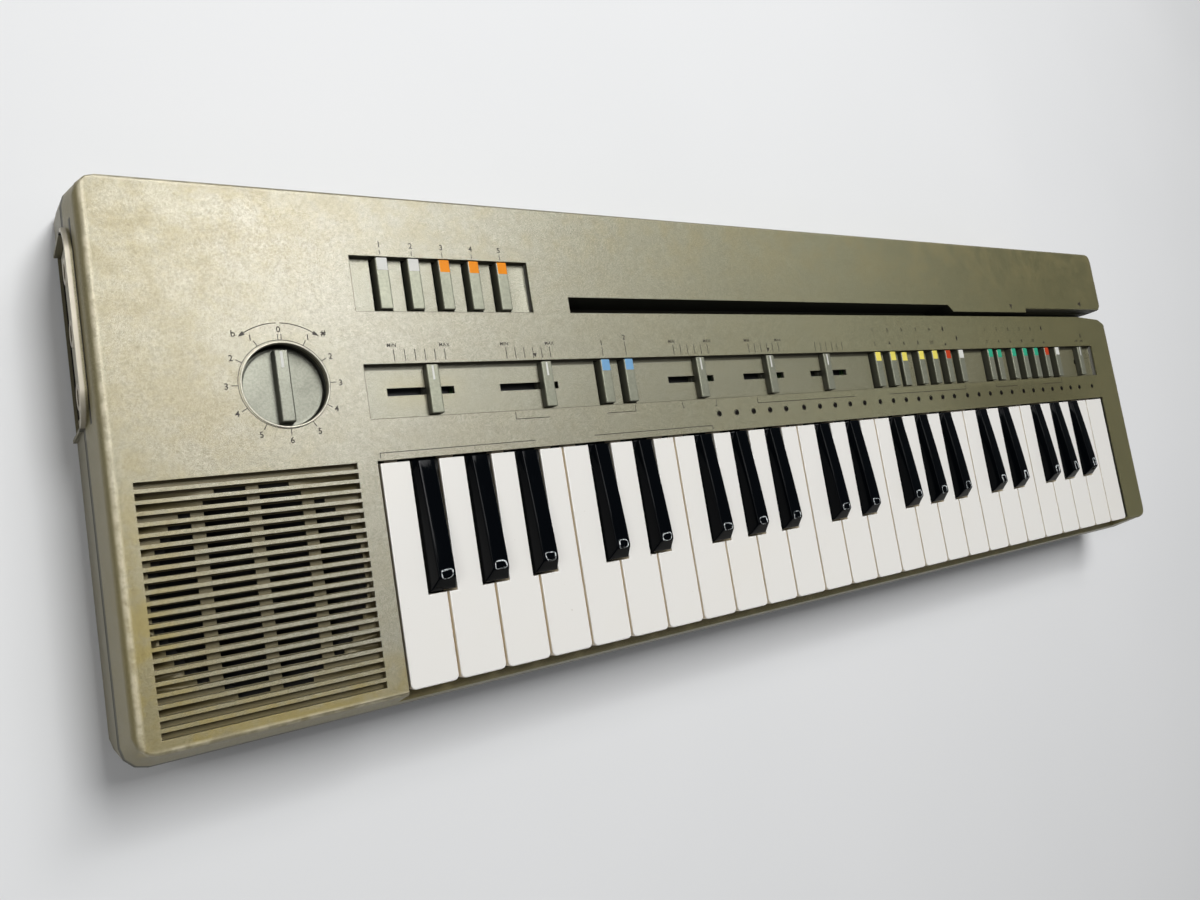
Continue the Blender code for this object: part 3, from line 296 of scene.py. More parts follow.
class Shape:
    """Several closed surfaces gathered into one mesh, each with its material's number."""

    def __init__(self):
        self.points = []
        self.faces = []
        self.finish = []
        self.count = 0

    def add(self, points, faces, finish=0):
        """Points with their faces, which are already numbered past the count."""
        self.points.append(points.reshape(-1, 3))
        self.faces += [tuple(face) for face in faces]
        self.finish += [finish] * len(faces)
        self.count += len(self.points[-1])

    def loft(self, rings, finish=0):
        """Closed skin through rings of equal count, capped at both ends."""
        rows, columns = rings.shape[:2]
        quads = grid_faces(rows, columns, self.count).tolist()
        start = tuple(range(self.count + columns - 1, self.count - 1, -1))
        last = self.count + (rows - 1) * columns
        self.add(rings, quads + [start, tuple(range(last, last + columns))], finish)

    def hoop(self, rings, finish=0):
        """Closed band through rings of equal count, the last joined to the first."""
        rows, columns = rings.shape[:2]
        quads = grid_faces(rows + 1, columns) % (rows * columns) + self.count
        self.add(rings, quads.tolist(), finish)

    def block(self, low, high, corner, edge, steps, finish=0):
        """A rounded block between two corners."""
        self.loft(rounded_block(low, high, corner, edge, steps), finish)

    def make(self, name, looks, node, slot, stands_for=False, smooth=40):
        """Put the mesh into the scene."""
        mesh = bpy.data.meshes.new(name)
        mesh.from_pydata(np.concatenate(self.points).tolist(), [], self.faces)
        mesh.polygons.foreach_set("material_index", self.finish)
        put(name, mesh, looks, node, stands_for, smooth)


def arc(start, stop, count):
    """Unit rays at even angles from start to stop, in quarter turns."""
    turn = np.linspace(start * np.pi / 2, stop * np.pi / 2, count)
    return np.stack([np.cos(turn), np.sin(turn)], -1)


def lifted(plan, z):
    """Plan points with a height."""
    return np.column_stack([plan, np.full(len(plan), z)])


def rounded_block(low, high, corner, edge, steps):
    """Rings of a block with round corners and a rounded top: insets follow a quarter circle."""
    hold = edge * 0.3
    turn = arc(0, 1, steps + 1)
    insets = [0.0, 0.0, *(edge * (1 - turn[:, 0])), edge + hold]
    heights = [low[2], high[2] - edge - hold, *(high[2] - edge + edge * turn[:, 1]), high[2]]
    return np.array([lifted(round_plan(low[0] + d, high[0] - d, low[1] + d, high[1] - d,
                                       max(corner - d, corner / 5)), z)
                     for d, z in zip(insets, heights)])


def round_plan(x0, x1, y0, y1, radius):
    """Rounded rectangle as points: four corner centres, each with a quarter circle about it."""
    centres = ((x1 - radius, y0 + radius), (x1 - radius, y1 - radius),
               (x0 + radius, y1 - radius), (x0 + radius, y0 + radius))
    return np.concatenate([centre + radius * arc(k, k + 1, 5)
                           for k, centre in zip((-1, 0, 1, 2), centres)])


def turned(place, profile, sides, wall=0.0):
    """Rings of a turned form: a circle for every (radius, height), from a wall and a place."""
    circle = arc(0, 4, sides + 1)[:-1]
    return np.array([lifted(place[:2] + (wall + radius) * circle, place[2] + rise)
                     for radius, rise in profile])


def is_sharp(edge):
    """True where two faces meet at more than 40 degrees."""
    return len(edge.link_faces) == 2 and edge.calc_face_angle(0.0) > math.radians(40)


def copy_of(node, name, looks, width=0.0, pick=is_sharp):
    """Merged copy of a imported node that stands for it, with chosen edges rounded."""
    mesh = bpy.data.meshes.new(name)
    work = bmesh.new()
    work.from_mesh(frame["nodes"][node].data)
    bmesh.ops.remove_doubles(work, verts=work.verts, dist=1e-6)
    bmesh.ops.dissolve_limit(work, angle_limit=math.radians(0.5), verts=work.verts,
                             edges=work.edges)
    if width:
        bmesh.ops.bevel(work, geom=[edge for edge in work.edges if pick(edge)], offset=width,
                        offset_type='OFFSET', segments=3, profile=0.5, affect='EDGES',
                        clamp_overlap=True)
    work.to_mesh(mesh)
    work.free()
    mesh.materials.clear()
    made = put(name, mesh, looks, node, True, 38)
    made.modifiers.new("even_normals", 'WEIGHTED_NORMAL').keep_sharp = True


# Key layout
def black_places():
    """World X of the middle of every black key, lowest first; the lowest white key is an F."""
    shifts = {1: -GROUP_SPREAD, 2: 0.0, 3: GROUP_SPREAD, 5: -PAIR_SPREAD, 6: PAIR_SPREAD}
    return {k: KEY_X + k * PITCH + BLACK_SHIFT + shifts[k % 7]
            for k in range(1, WHITES) if k % 7 in shifts}


def white_sides():
    """Left, right, tail left and tail right of every white key."""
    blacks = black_places()
    reach = BLACK_WIDTH / 2 + BLACK_GAP
    sides = []
    for k in range(WHITES):
        left = KEY_X + k * PITCH + KEY_GAP / 2
        right = KEY_X + (k + 1) * PITCH - KEY_GAP / 2
        sides.append((left, right, blacks[k] + reach if k in blacks else left,
                      blacks[k + 1] - reach if k + 1 in blacks else right))
    return sides


# Settings
def tint(name, description, default):
    """A colour to change."""
    return FloatVectorProperty(name=name, description=description, subtype='COLOR',
                               default=default, min=0, max=1)


class KeyboardPaint(bpy.types.PropertyGroup):
    """Colours and wear of the painted case."""

    flake: tint("Flakes", "Metal flakes of the paint", (0.585, 0.565, 0.48))
    lacquer: tint("Lacquer", "Clear colour between the flakes", (0.088, 0.081, 0.03))
    stain: tint("Stain", "Yellowed and handled areas", (0.19, 0.15, 0.05))
    well: tint("Wells", "Flakes in the control wells", (0.54, 0.54, 0.45))
    # Recess: unpainted plastic with painted shade over it, also used for the dark seam line and the
    # bay's hollow.
    dark: tint("Recess", "Unpainted plastic inside deep openings", (0.035, 0.035, 0.025))
    # Wear also sets the painted highlight along the panel's edge.
    wear: FloatProperty(name="Wear", description="How worn the edges are", default=0.6,
                        min=0, max=1)
    edge: FloatProperty(name="Edge radius", description="Rounding of the panel's edges",
                        unit='LENGTH', default=0.00022, min=0, max=0.0005)


class KeyboardKeys(bpy.types.PropertyGroup):
    """Colours and rounding of the keys."""

    white: tint("White keys", "Plastic of the white keys", (0.78, 0.765, 0.725))
    black: tint("Black keys", "Plastic of the black keys", (0.0012, 0.0018, 0.0027))
    edge: FloatProperty(name="Edge radius", description="Rounding of the white keys' edges",
                        unit='LENGTH', default=0.0004, min=0.0001, max=0.001)


class KeyboardControls(bpy.types.PropertyGroup):
    """Colours of the buttons, sliders and knob."""

    cap: tint("Caps", "Silver paint of the caps", (0.27, 0.275, 0.21))
    knob: tint("Knob", "Silver paint of the knob", (0.19, 0.193, 0.158))
    # Painted shade: the caps' sides and the knob bar's lower part take this dark tone.
    side: tint("Cap sides", "Dark plastic of the caps' sides", (0.06, 0.06, 0.042))
    orange: tint("Orange", "Orange tips", (0.76, 0.24, 0.004))
    blue: tint("Blue", "Blue tips", (0.165, 0.335, 0.53))
    yellow: tint("Yellow", "Yellow tips", (0.72, 0.62, 0.12))
    green: tint("Green", "Green tips", (0.03, 0.34, 0.2))
    red: tint("Red", "Red tips", (0.46, 0.045, 0.012))
    white: tint("White", "White tips and index lines", (0.62, 0.62, 0.58))
    ink: tint("Ink", "Printed marks on the panel", (0.028, 0.021, 0.014))


class KeyboardStage(bpy.types.PropertyGroup):
    """Camera, lamps and floor."""

    lens: FloatProperty(name="Lens", description="Focal length on a 36 mm sensor, in mm",
                        default=27.65, min=10, max=200)
    key: FloatProperty(name="Lamps", description="Power that the lamps share out, in watts",
                       default=20.5, min=0)
    world: FloatProperty(name="Surroundings", description="Brightness of the surroundings",
                         default=0.14, min=0)


# Finishes, each made once
@cache
def paint_look():
    """Metal-flake paint: bright flakes in olive lacquer, yellowed, worn, dark in deep openings,
    with painted shade and highlights in places.
    """
    paint = bpy.context.scene.keyboard_paint
    look = Look("flake_paint", paint.flake, 0.5, 0.6)
    x, y, z = look.axes()

    def field(left, right, front, rear, soft=0.0003):
        """1 in a rectangle of the plan."""
        return x.inside(left, right, soft) * y.inside(front, rear, soft)

    # Where on the case
    rim = (x - FACE_LEFT).low(FACE_RIGHT - x).low(y - KEY_Y).low(FACE_REAR - y)
    outer = rim.fall(-0.0014, -0.0002)
    near_left = x.fall(FACE_LEFT, FACE_LEFT + 0.085)
    near_front = y.fall(KEY_Y - 0.004, KEY_Y + 0.02)
    near_rear = y.ramp(FACE_REAR - 0.04, FACE_REAR)
    corner = near_front * x.fall(KEY_X - 0.02, KEY_X + 0.06)
    far = x.ramp(0.02, 0.26)
    lower = z.fall(SEAM_Z - 0.0006, SEAM_Z - 0.0002)
    above = z.ramp(BASE_Z + 0.0008, BASE_Z + 0.0016)
    feet = z.fall(BASE_Z - 0.0003, BASE_Z - 0.0001)
    well_rim = rim.ramp(0.0005, 0.0012)
    sunk = z.fall(PANEL_Z - 0.0012, PANEL_Z - 0.0004) * well_rim

    # Noises
    cloud = look.noise(30.0, 4.0, 0.55)
    drift = look.noise(9.0, 3.0, 0.6)
    mottle = look.noise(120.0, 4.0, 0.65)
    grain = look.noise(1500.0, 2.0, 0.8)
    coarse = look.noise(420.0, 2.0, 0.6).ramp(0.36, 0.64)
    chips = look.noise(240.0, 4.0, 0.6)
    scratch = look.noise(1.0, 3.0, 0.7, (260.0, 45.0, 60.0)).ramp(0.72, 0.76)

    # Flakes in lacquer
    yellowed = (near_left * 0.55 + corner * 0.8 + near_rear * 0.35 + 0.12).low(1.0)
    stained = (cloud * 0.5 + mottle * 0.5).ramp(0.4, 0.64) * yellowed + corner * 0.4
    stained = stained.low(1.0)
    flakes = look.noise(11000.0, 1.0, 0.6).ramp(0.46, 0.56) * (0.88 + drift * 0.24)
    flakes = flakes * (0.8 + grain.ramp(0.32, 0.68) * 0.36)
    # Painted shade: lacquer and flakes darken towards the right end (far), and the flakes turn
    # yellower from the left end to the middle, for the lamp's highlight fading across the panel.
    lacquer = look.over(paint.lacquer, (far * 0.8, (0.045, 0.037, 0.009)), (stained, paint.stain))
    bright = look.over(paint.flake, (x.ramp(-0.22, 0.1), (0.59, 0.58, 0.4)),
                       (far * 0.6, (0.35, 0.33, 0.12)), (stained * 0.75, (0.46, 0.4, 0.23)),
                       (near_left * 0.7, (0.4, 0.365, 0.255)), (sunk * 0.5, paint.well))
    colour = look.shade(look.mix(flakes, lacquer, bright),
                        0.93 + grain.ramp(0.36, 0.64) * 0.1 + coarse * 0.04)
    side = look.mix(flakes, (0.12, 0.1, 0.04), (0.29, 0.255, 0.14))
    beside = x.fall(FACE_LEFT + 0.003, FACE_LEFT + 0.025) * y.fall(KEY_Y + 0.02, KEY_Y + 0.1)
    aged = (corner + beside).low(1.0) * (0.35 + mottle.ramp(0.38, 0.62) * 0.5)

    # Sides, lips and floors, with painted shade on walls and edges and a painted highlight on the
    # lip
    # Painted highlight: the bay's lip is lighter where its rounded top faces the lamps.
    lip_highlight = y.inside(BAY[0] - 0.0035, BAY[1] + 0.0035, 0.0005) * x.inside(LEFT - 0.002, LEFT + 0.0014)
    # Painted shade: the front wall below the keys is darkened, more so away from the left end.
    under = y.fall(KEY_Y - 0.004, KEY_Y - 0.0015) * z.fall(SEAM_Z - 0.001, SEAM_Z + 0.006)
    # Painted shade: the grille's sunk faces get a darker brown.
    grille = field(FACE_LEFT + 0.004, FACE_LEFT + 0.0765, KEY_Y + 0.002, KEY_Y + 0.0805) * above
    # Painted shade: the walls of the wells are darkened and lose their metal.
    wall_shade = z.inside(WELL_Z + 0.0001, PANEL_Z - 0.0004, 0.0001) * well_rim * (1 - grille)
    # Painted shadow: a dark band along the rear edge of each well.
    shelf_shadow = (y.inside(MAIN_WELL[1] - 0.0017, MAIN_WELL[1] + 0.0002)
             + y.inside(CARD_WELL[1] - 0.0007, CARD_WELL[1] + 0.0002))
    # Painted shade: the strip between the key opening and the main well is darker towards the
    # right.
    strip_shade = y.inside(OPENING_REAR, MAIN_WELL[0] - 0.002, 0.002) * x.inside(0.12, 0.25, 0.04)
    # Painted shadow: thin dark lines along the left and front edges of the wells.
    edge = x.inside(WELL_LEFT - 0.0003, WELL_LEFT + 0.0002, 0.0001)
    edge = edge * (y.inside(*MAIN_WELL) + y.inside(*CARD_WELL))
    for (front, rear), length in WELL_LENGTHS:
        edge = edge + (y.inside(front - 0.0003, front + 0.0002, 0.0001)
                       * x.inside(WELL_LEFT, WELL_LEFT + length))
    slot = KEY_X + SLIDER_PLACES[0] * PITCH
    halo = (x.inside(slot - 0.014, slot + 0.014, 0.008)
            * y.inside(MAIN_WELL[0] + 0.005, MAIN_WELL[1] - 0.005, 0.005))

    # Deep openings, the seam and the bay; the deep openings and the bay carry painted shade
    trench = field(KEY_X + 0.085, KEY_X + 0.432, KEY_Y + 0.1335, KEY_Y + 0.1412)
    opening = field(KEY_X - 0.002, KEY_X + WHITES * PITCH + 0.002,
                    KEY_Y + 0.0005, OPENING_REAR + 0.0005)
    # Near black deep inside the case, in the card trench and in the key opening: unpainted plastic,
    # darkened further as painted shade.
    deep = (z.fall(WELL_Z - 0.0006, WELL_Z - 0.0002) * rim.ramp(0.001, 0.002)
            + (trench + opening) * z.fall(PANEL_Z - 0.0016, PANEL_Z - 0.0004)).low(1.0) * above
    seam = z.inside(SEAM_Z - 0.0006, SEAM_Z + 0.0006, 0.0002) * outer
    groove = z.inside(SEAM_Z - 0.0006, SEAM_Z + 0.0028, 0.0006) * outer * near_left * 0.8
    # Painted shade: the hollow under the bay's lip is painted black.
    bay = (field(LEFT + 0.0022, LEFT + 0.012, BAY[0], BAY[1], 0.0002)
           * z.fall(BAY[2], BAY[2] + 0.0004))
    deep = (deep + seam * (1 - lower * 0.3) + groove + bay).low(1.0)

    # Wear, grime and a painted highlight along the panel's edge
    # The pale line round the panel's edge is partly wear and partly a painted highlight; the
    # scratches at the left are wear.
    line = rim.inside(-0.0012, 0.0004, 0.0006) * z.ramp(PANEL_Z - 0.002, PANEL_Z - 0.001)
    handled = (near_left + corner + 0.12).low(1.0)
    worn = line * (0.35 + chips.ramp(0.4, 0.62) * 0.55) * handled
    worn = (worn + scratch * near_left * (near_front + 0.12) * 0.8) * paint.wear
    grime = chips.ramp(0.66, 0.74) * (near_left * 0.5 + 0.2)

    colour = look.over(
        colour,
        (aged, look.mix(flakes, (0.16, 0.12, 0.028), (0.44, 0.36, 0.13))),
        (outer * 0.8, look.mix(lower, side, (0.14, 0.125, 0.075))),
        (lip_highlight * (1 - lower) * 0.85, (0.48, 0.44, 0.36)),
        (under * x.ramp(LEFT + 0.012, LEFT + 0.06) * 0.9, (0.03, 0.027, 0.018)),
        (grille * sunk * 0.85, (0.115, 0.092, 0.04)),
        (wall_shade * 0.9, (0.03, 0.028, 0.018)),
        (shelf_shadow * sunk * above * 0.7, (0.05, 0.046, 0.03)),
        (strip_shade * (1 - sunk) * 0.28, (0.05, 0.042, 0.014)),
        (edge.low(1.0) * z.ramp(PANEL_Z - 0.0016, PANEL_Z - 0.0012) * 0.6, (0.07, 0.058, 0.034)),
        (halo * sunk * (0.3 + cloud * 0.5) * 0.55, (0.36, 0.31, 0.16)),
        (deep, paint.dark),
        (bay, (0.003, 0.003, 0.002)),
        (feet, (0.02, 0.02, 0.02)),
        ((worn * (1 - deep)).low(1.0), (0.72, 0.66, 0.5)),
        (grime * (1 - deep) * 0.5, (0.12, 0.1, 0.06)))
    bare = (1 - stained * 0.15) * (1 - deep) * (1 - wall_shade * 0.9) * (1 - feet) * (1 - worn * 0.6)
    look.feed({"Base Color": colour, "Metallic": flakes * bare,
               "Roughness": 0.47 + drift * 0.06 + stained * 0.05 + deep * 0.2 + feet * 0.25,
               "Specular IOR Level": 0.3, "Coat Weight": 0.22, "Coat Roughness": 0.36})
    return look.bump(grain, 0.000004)


@cache
def white_look():
    """Satin white plastic with slow yellowing, specks, and sides that have yellowed more."""
    white = bpy.context.scene.keyboard_keys.white
    look = Look("key_white", white, 0.32)
    drift = look.noise(25.0, 3.0, 0.6)
    sides = look.axes()[2].fall(KEY_Z - 0.0008, KEY_Z - 0.0001)
    speck = look.noise(700.0, 2.0, 0.6).ramp(0.74, 0.79)
    colour = look.over(white, (drift.ramp(0.45, 0.8) * 0.12, (0.72, 0.66, 0.54)),
                       (sides * 0.85, (0.76, 0.64, 0.44)), (speck * 0.35, (0.42, 0.37, 0.28)))
    look.feed({"Base Color": colour, "Roughness": 0.27 + drift * 0.14})
    return look.bump(look.noise(1400.0, 2.0, 0.5), 0.000006)


@cache
def black_look():
    """Glossy black plastic with fine handling scratches along the key."""
    black = bpy.context.scene.keyboard_keys.black
    look = Look("key_black", black, 0.12)
    hairs = look.noise(1.0, 3.0, 0.7, (1800.0, 60.0, 400.0))
    smear = look.noise(60.0, 3.0, 0.6)
    look.feed({"Base Color": look.mix(hairs.ramp(0.7, 0.8) * 0.5, black, (0.02, 0.024, 0.03)),
               "Roughness": 0.07 + smear.ramp(0.4, 0.7) * 0.06 + hairs.ramp(0.6, 0.8) * 0.12,
               "Specular IOR Level": 0.06})
    return look.bump(hairs, 0.000004)


@cache
def rubbed_look():
    """Painted glint: pale grey ring standing in for a lamp's reflection on the black keys' noses,
    broken up by two noises.
    """
    look = Look("rubbed_nose", (0.4, 0.43, 0.44), 0.5)
    broken = look.noise(1100.0, 3.0, 0.7).ramp(0.4, 0.58)
    look.feed({"Base Color": look.mix(broken, (0.05, 0.06, 0.065), (0.72, 0.76, 0.77)),
               "Roughness": 0.35 + look.noise(400.0, 2.0, 0.6) * 0.3})
    return look


@cache
def flake_look(name, colour, roughness=0.46, metallic=0.85):
    """Satin silver paint with fine flakes and slight wear."""
    look = Look(name, colour, roughness, metallic)
    flakes = look.noise(3000.0, 1.0, 0.7)
    grain = look.noise(1100.0, 2.0, 0.7).ramp(0.36, 0.64)
    smear = look.noise(120.0, 3.0, 0.6)
    rubbed = look.mix(smear.ramp(0.5, 0.8) * 0.4, colour, [0.72 * part for part in colour])
    look.feed({"Base Color": look.shade(rubbed, 0.84 + flakes * 0.16 + grain * 0.16),
               "Roughness": roughness - 0.06 + smear * 0.14})
    return look.bump(flakes, 0.000015)


@cache
def plastic_look(name, colour, roughness, grain=900.0, depth=0.00001, gloss=0.5):
    """Moulded plastic: a fine grain in its height and a slow drift in its tone and gloss."""
    look = Look(name, colour, roughness)
    drift = look.noise(90.0, 3.0, 0.6)
    look.feed({"Base Color": look.shade(colour, 0.86 + drift * 0.28),
               "Roughness": roughness - 0.05 + drift * 0.12, "Specular IOR Level": gloss})
    return look.bump(look.noise(grain, 2.0, 0.6), depth)


def socket_black():
    """Black plastic of the jacks, the screws' slots and the slider tracks."""
    return plastic_look("jack_black", (0.006, 0.006, 0.006), 0.5)


@cache
def ink_look():
    """Thin printed ink, a little worn through."""
    ink = bpy.context.scene.keyboard_controls.ink
    look = Look("panel_ink", ink, 0.55)
    worn = look.noise(700.0, 3.0, 0.7)
    look.feed({"Base Color": look.mix(worn.ramp(0.58, 0.8) * 0.45, ink, (0.32, 0.28, 0.2)),
               "Roughness": 0.45 + worn * 0.2})
    return look


@cache
def board_look():
    """Green board with copper tracks: bands of two stretched wave fields under a lacquer."""
    look = Look("green_board", (0.05, 0.13, 0.05), 0.35)
    along = look.noise(1.0, 1.0, 0.5, (60.0, 700.0, 1.0))
    across = look.noise(1.0, 1.0, 0.5, (600.0, 80.0, 1.0))
    tracks = (along.inside(0.46, 0.5, 0.004) + across.inside(0.47, 0.5, 0.004)).low(1.0)
    look.feed({"Base Color": look.mix(tracks, (0.03, 0.1, 0.035), (0.13, 0.24, 0.07)),
               "Roughness": 0.3 + along * 0.2})
    return look.bump(tracks, 0.00003)


TIPS = ("orange", "blue", "yellow", "green", "red", "white")


def tones():
    """Finishes of the controls by name: cap, knob, side (a dark finish that paints the shade on the
    caps' sides), the tips and the index lines' white.
    """
    given = {name: tuple(getattr(bpy.context.scene.keyboard_controls, name))
             for name in ("cap", "knob", "side", *TIPS)}
    made = {"cap": flake_look("cap_silver", given["cap"], 0.46, 0.6),
            "knob": flake_look("knob_silver", given["knob"]),
            "side": plastic_look("cap_side", given["side"], 0.45)}
    made.update((name, plastic_look(f"tip_{name}", given[name], 0.38, gloss=0.15)) for name in TIPS)
    return made


# Case
SHORTEST = {"any": 0.0013, "seam": 0.002}
LEVEL = 2e-5


def case_edge(low, high):
    """A test for edges to round: long ones between two heights, at the seam or at the bay."""
    def pick(edge):
        ends = [corner.co for corner in edge.verts]
        length = edge.calc_length()
        if not is_sharp(edge) or length < SHORTEST["any"]:
            return False
        return (all(low < end.z < high for end in ends)
                or all(end.x < LEFT + 0.0002 for end in ends)
                or length > SHORTEST["seam"]
                and all(abs(end.z - SEAM_Z) < 0.0004 for end in ends))
    return pick


class KEYBOARD_OT_case(bpy.types.Operator):
    """Upper and lower case in flake paint with softened edges"""

    bl_idname = "keyboard.case"
    bl_label = "Case"

    def execute(self, context):
        for node, name, low, high in (
                ("top_case", "upper_case", PANEL_Z - LEVEL, PANEL_Z + LEVEL),
                ("bottom_case", "lower_case", -1.0, BASE_Z + LEVEL)):
            copy_of(node, name, [paint_look()], context.scene.keyboard_paint.edge,
                    case_edge(low, high))
        return {'FINISHED'}


# Keys
def hook(shape, middle):
    """Arm and open hook round the hinge rod: outer arc, arm and inner arc, carried along X."""
    inner = ROD_RADIUS
    outer = inner + HOOK_WALL
    reach = OPENING_REAR - REAR_GAP - WHITE_WALL / 2
    arm = np.array([[reach, ROD[1] + outer * math.sin(math.radians(135))],
                    [reach, ROD[1] - inner], [ROD[0] - outer, ROD[1] - inner]])
    outline = np.concatenate([ROD + outer * arc(-1 / 6, 1.5, 12), arm,
                              ROD + inner * arc(20 / 9, -1 / 6, 12)])
    shape.loft(np.array([np.column_stack([np.full(len(outline), x), outline])
                         for x in (middle - HOOK_WIDTH / 2, middle + HOOK_WIDTH / 2)]))


def white_plan(sides, inset):
    """Plan of a white key drawn in by inset: two quarter circles in front, a head and a tail."""
    left, right, tail_left, tail_right = sides
    radius = max(KEY_CORNER - inset, KEY_CORNER / 4)
    back = max(inset, 0.0)
    front = KEY_Y + back
    turn = radius * arc(2, 3, 6)
    near = (left + inset + radius, front + radius) + turn
    far = (right - inset - radius, front + radius) + turn[::-1] * (-1, 1)
    shoulder = KEY_Y + HEAD_LENGTH - back
    rear = OPENING_REAR - REAR_GAP - back
    rest = []
    if tail_right < right:
        rest += [(right - inset, shoulder), (tail_right - inset, shoulder)]
    rest += [(tail_right - inset, rear), (tail_left + inset, rear)]
    if tail_left > left:
        rest += [(tail_left + inset, shoulder), (left + inset, shoulder)]
    return np.concatenate([near, far, np.array(rest)])


def white_rings(sides, edge):
    """Shell of a white key: inner wall, outer wall with draft, a quarter circle to the top."""
    hold = 0.00012
    foot = KEY_Z - WHITE_HEIGHT
    turn = arc(0, 1, 5)
    levels = [(WHITE_WALL, KEY_Z - WHITE_WALL), (WHITE_WALL, foot), (-KEY_DRAFT, foot),
              (-KEY_DRAFT, KEY_Z - 0.0014), (0.0, KEY_Z - edge - hold),
              *zip(edge * (1 - turn[:, 0]), KEY_Z - edge + edge * turn[:, 1]), (edge + hold, KEY_Z)]
    return np.array([lifted(white_plan(sides, inset), z) for inset, z in levels])


class KEYBOARD_OT_white_keys(bpy.types.Operator):
    """Twenty-six white keys with rounded top edges and front corners"""

    bl_idname = "keyboard.white_keys"
    bl_label = "White Keys"

    def execute(self, context):
        for number, sides in enumerate(white_sides(), 1):
            shape = Shape()
            shape.loft(white_rings(sides, context.scene.keyboard_keys.edge))
            hook(shape, (sides[2] + sides[3]) / 2)
            shape.make(f"ivory_{number:02d}", [white_look()], f"white_key_{number:02d}",
                       "white_key", True)
        return {'FINISHED'}


def sag(size, past):
    """How far a quarter circle of a size falls away at a distance past its top."""
    return size - np.sqrt(np.clip(size ** 2 - past ** 2, 0, None))


def black_profile():
    """Stations y and top heights: a round nose, a slope, a soft ridge and an arch to the rear."""
    nose, fall, soft = 0.00045, 0.0005, 0.00075
    front = KEY_Y + BLACK_FRONT
    ridge = front + BLACK_RUN
    rear = OPENING_REAR - REAR_GAP
    turn = arc(0, 1, 5)
    y = np.concatenate([front + nose * (1 - turn[:, 0]),
                        np.linspace(front + nose, ridge - 0.0008, 5)[1:],
                        np.linspace(ridge - 0.0008, ridge + 0.0012, 12)[1:],
                        np.linspace(ridge + 0.0012, rear - fall, 9)[1:],
                        rear - fall * (1 - turn[1:, 1])])
    t = (y - ridge) / (OPENING_REAR - ridge)
    top = BLACK_RISE - BLACK_DROP * t * (1 - BLACK_ARCH * (1 - t))
    slope = BLACK_LIP + (BLACK_RISE - BLACK_LIP) * (y - front) / BLACK_RUN
    gap = np.clip(soft - np.abs(top - slope), 0, None) / soft
    rise = np.minimum(top, slope) - gap ** 2 * soft * 0.25
    drop = sag(nose, nose - np.clip(y - front, 0, nose))
    return y, rise - drop * 0.9 - sag(fall, np.clip(y - (rear - fall), 0, fall))


def black_rings(middle):
    """Sections across a black key: upright skirt, leaning side and a quarter circle to the top."""
    y, rise = [values[:, None] for values in black_profile()]
    radius = np.clip(rise * 0.5, 0.0002, 0.00065)
    shoulder = rise - radius
    behind = np.clip((y - KEY_Y - BLACK_FRONT - BLACK_RUN) / 0.004, 0, 1)
    turn = arc(0, 1, 6)
    half = np.full_like(y, BLACK_WIDTH / 2)
    lean = BLACK_TAPER * np.clip(shoulder, 0, None) * (1 - behind) + BLACK_INSET * behind
    upper = half - lean - radius
    x = np.concatenate([half, half, upper + radius * turn[:, 0], upper * 0.5, upper * 0.0], 1)
    z = np.concatenate([half * 0 - BLACK_SKIRT, half * 0 - 0.0001,
                        shoulder + radius * turn[:, 1], rise, rise], 1)
    column = np.arange(x.shape[1])
    crown = 0.00002 * (1 - (x / np.maximum(upper, 1e-5)) ** 2) * (column > 6)
    z = z - 0.00012 * (column > 1) + crown
    x = np.concatenate([-x, x[:, -2::-1]], 1)
    z = np.concatenate([z, z[:, -2::-1]], 1)
    return np.stack([middle + x, np.broadcast_to(y, x.shape), KEY_Z + z], -1)


def rubbed_ring(middle, number):
    """Painted glint on a nose: a pale ring for a lamp's reflection, an uneven superellipse on the
    profile, its width a sum of waves.

    From the tenth key on the ring grows longer, narrower and broader in its line.
    """
    late = max(number - 9, 0) / 8
    turn = np.linspace(0, 2 * np.pi, 40, endpoint=False)
    ray = arc(0, 4, 41)[:-1]
    ray = np.sign(ray) * np.abs(ray) ** 0.62
    uneven = 1 + 0.06 * np.sin(2 * turn + number * 1.7) + 0.05 * np.sin(3 * turn + number * 2.9)
    wide = 0.00036 + 0.00014 * np.sin(turn + number * 1.3) + 0.00008 * np.sin(4 * turn + number)
    centre = (middle + 0.0006 * late, KEY_Y + BLACK_FRONT + BLACK_RUN + 0.0011 + 0.0012 * late)
    outer = centre + ray * (0.00235 - 0.0007 * late, 0.0017 + 0.0013 * late) * uneven[:, None]
    inner = outer - ray * (wide * (1 + 0.9 * late))[:, None]
    y, rise = black_profile()
    return np.array([lifted(plan, KEY_Z + np.interp(plan[:, 1], y, rise) + lift)
                     for plan, lift in ((outer, -0.0002), (outer, -0.00009),
                                        (inner, -0.00009), (inner, -0.0002))])


class KEYBOARD_OT_black_keys(bpy.types.Operator):
    """Eighteen black keys with a sloping front, rounded shoulders and a painted glint on the nose
    """

    bl_idname = "keyboard.black_keys"
    bl_label = "Black Keys"

    def execute(self, context):
        for number, middle in enumerate(black_places().values()):
            shape = Shape()
            shape.loft(black_rings(middle))
            hook(shape, middle)
            # A pale ring on each nose, painted in for a lamp's reflection.
            shape.hoop(rubbed_ring(middle, number), 1)
            shape.make(f"ebony_{number + 1:02d}", [black_look(), rubbed_look()],
                       f"black_key_{number + 1:02d}", "black_key", True, 50)
        return {'FINISHED'}


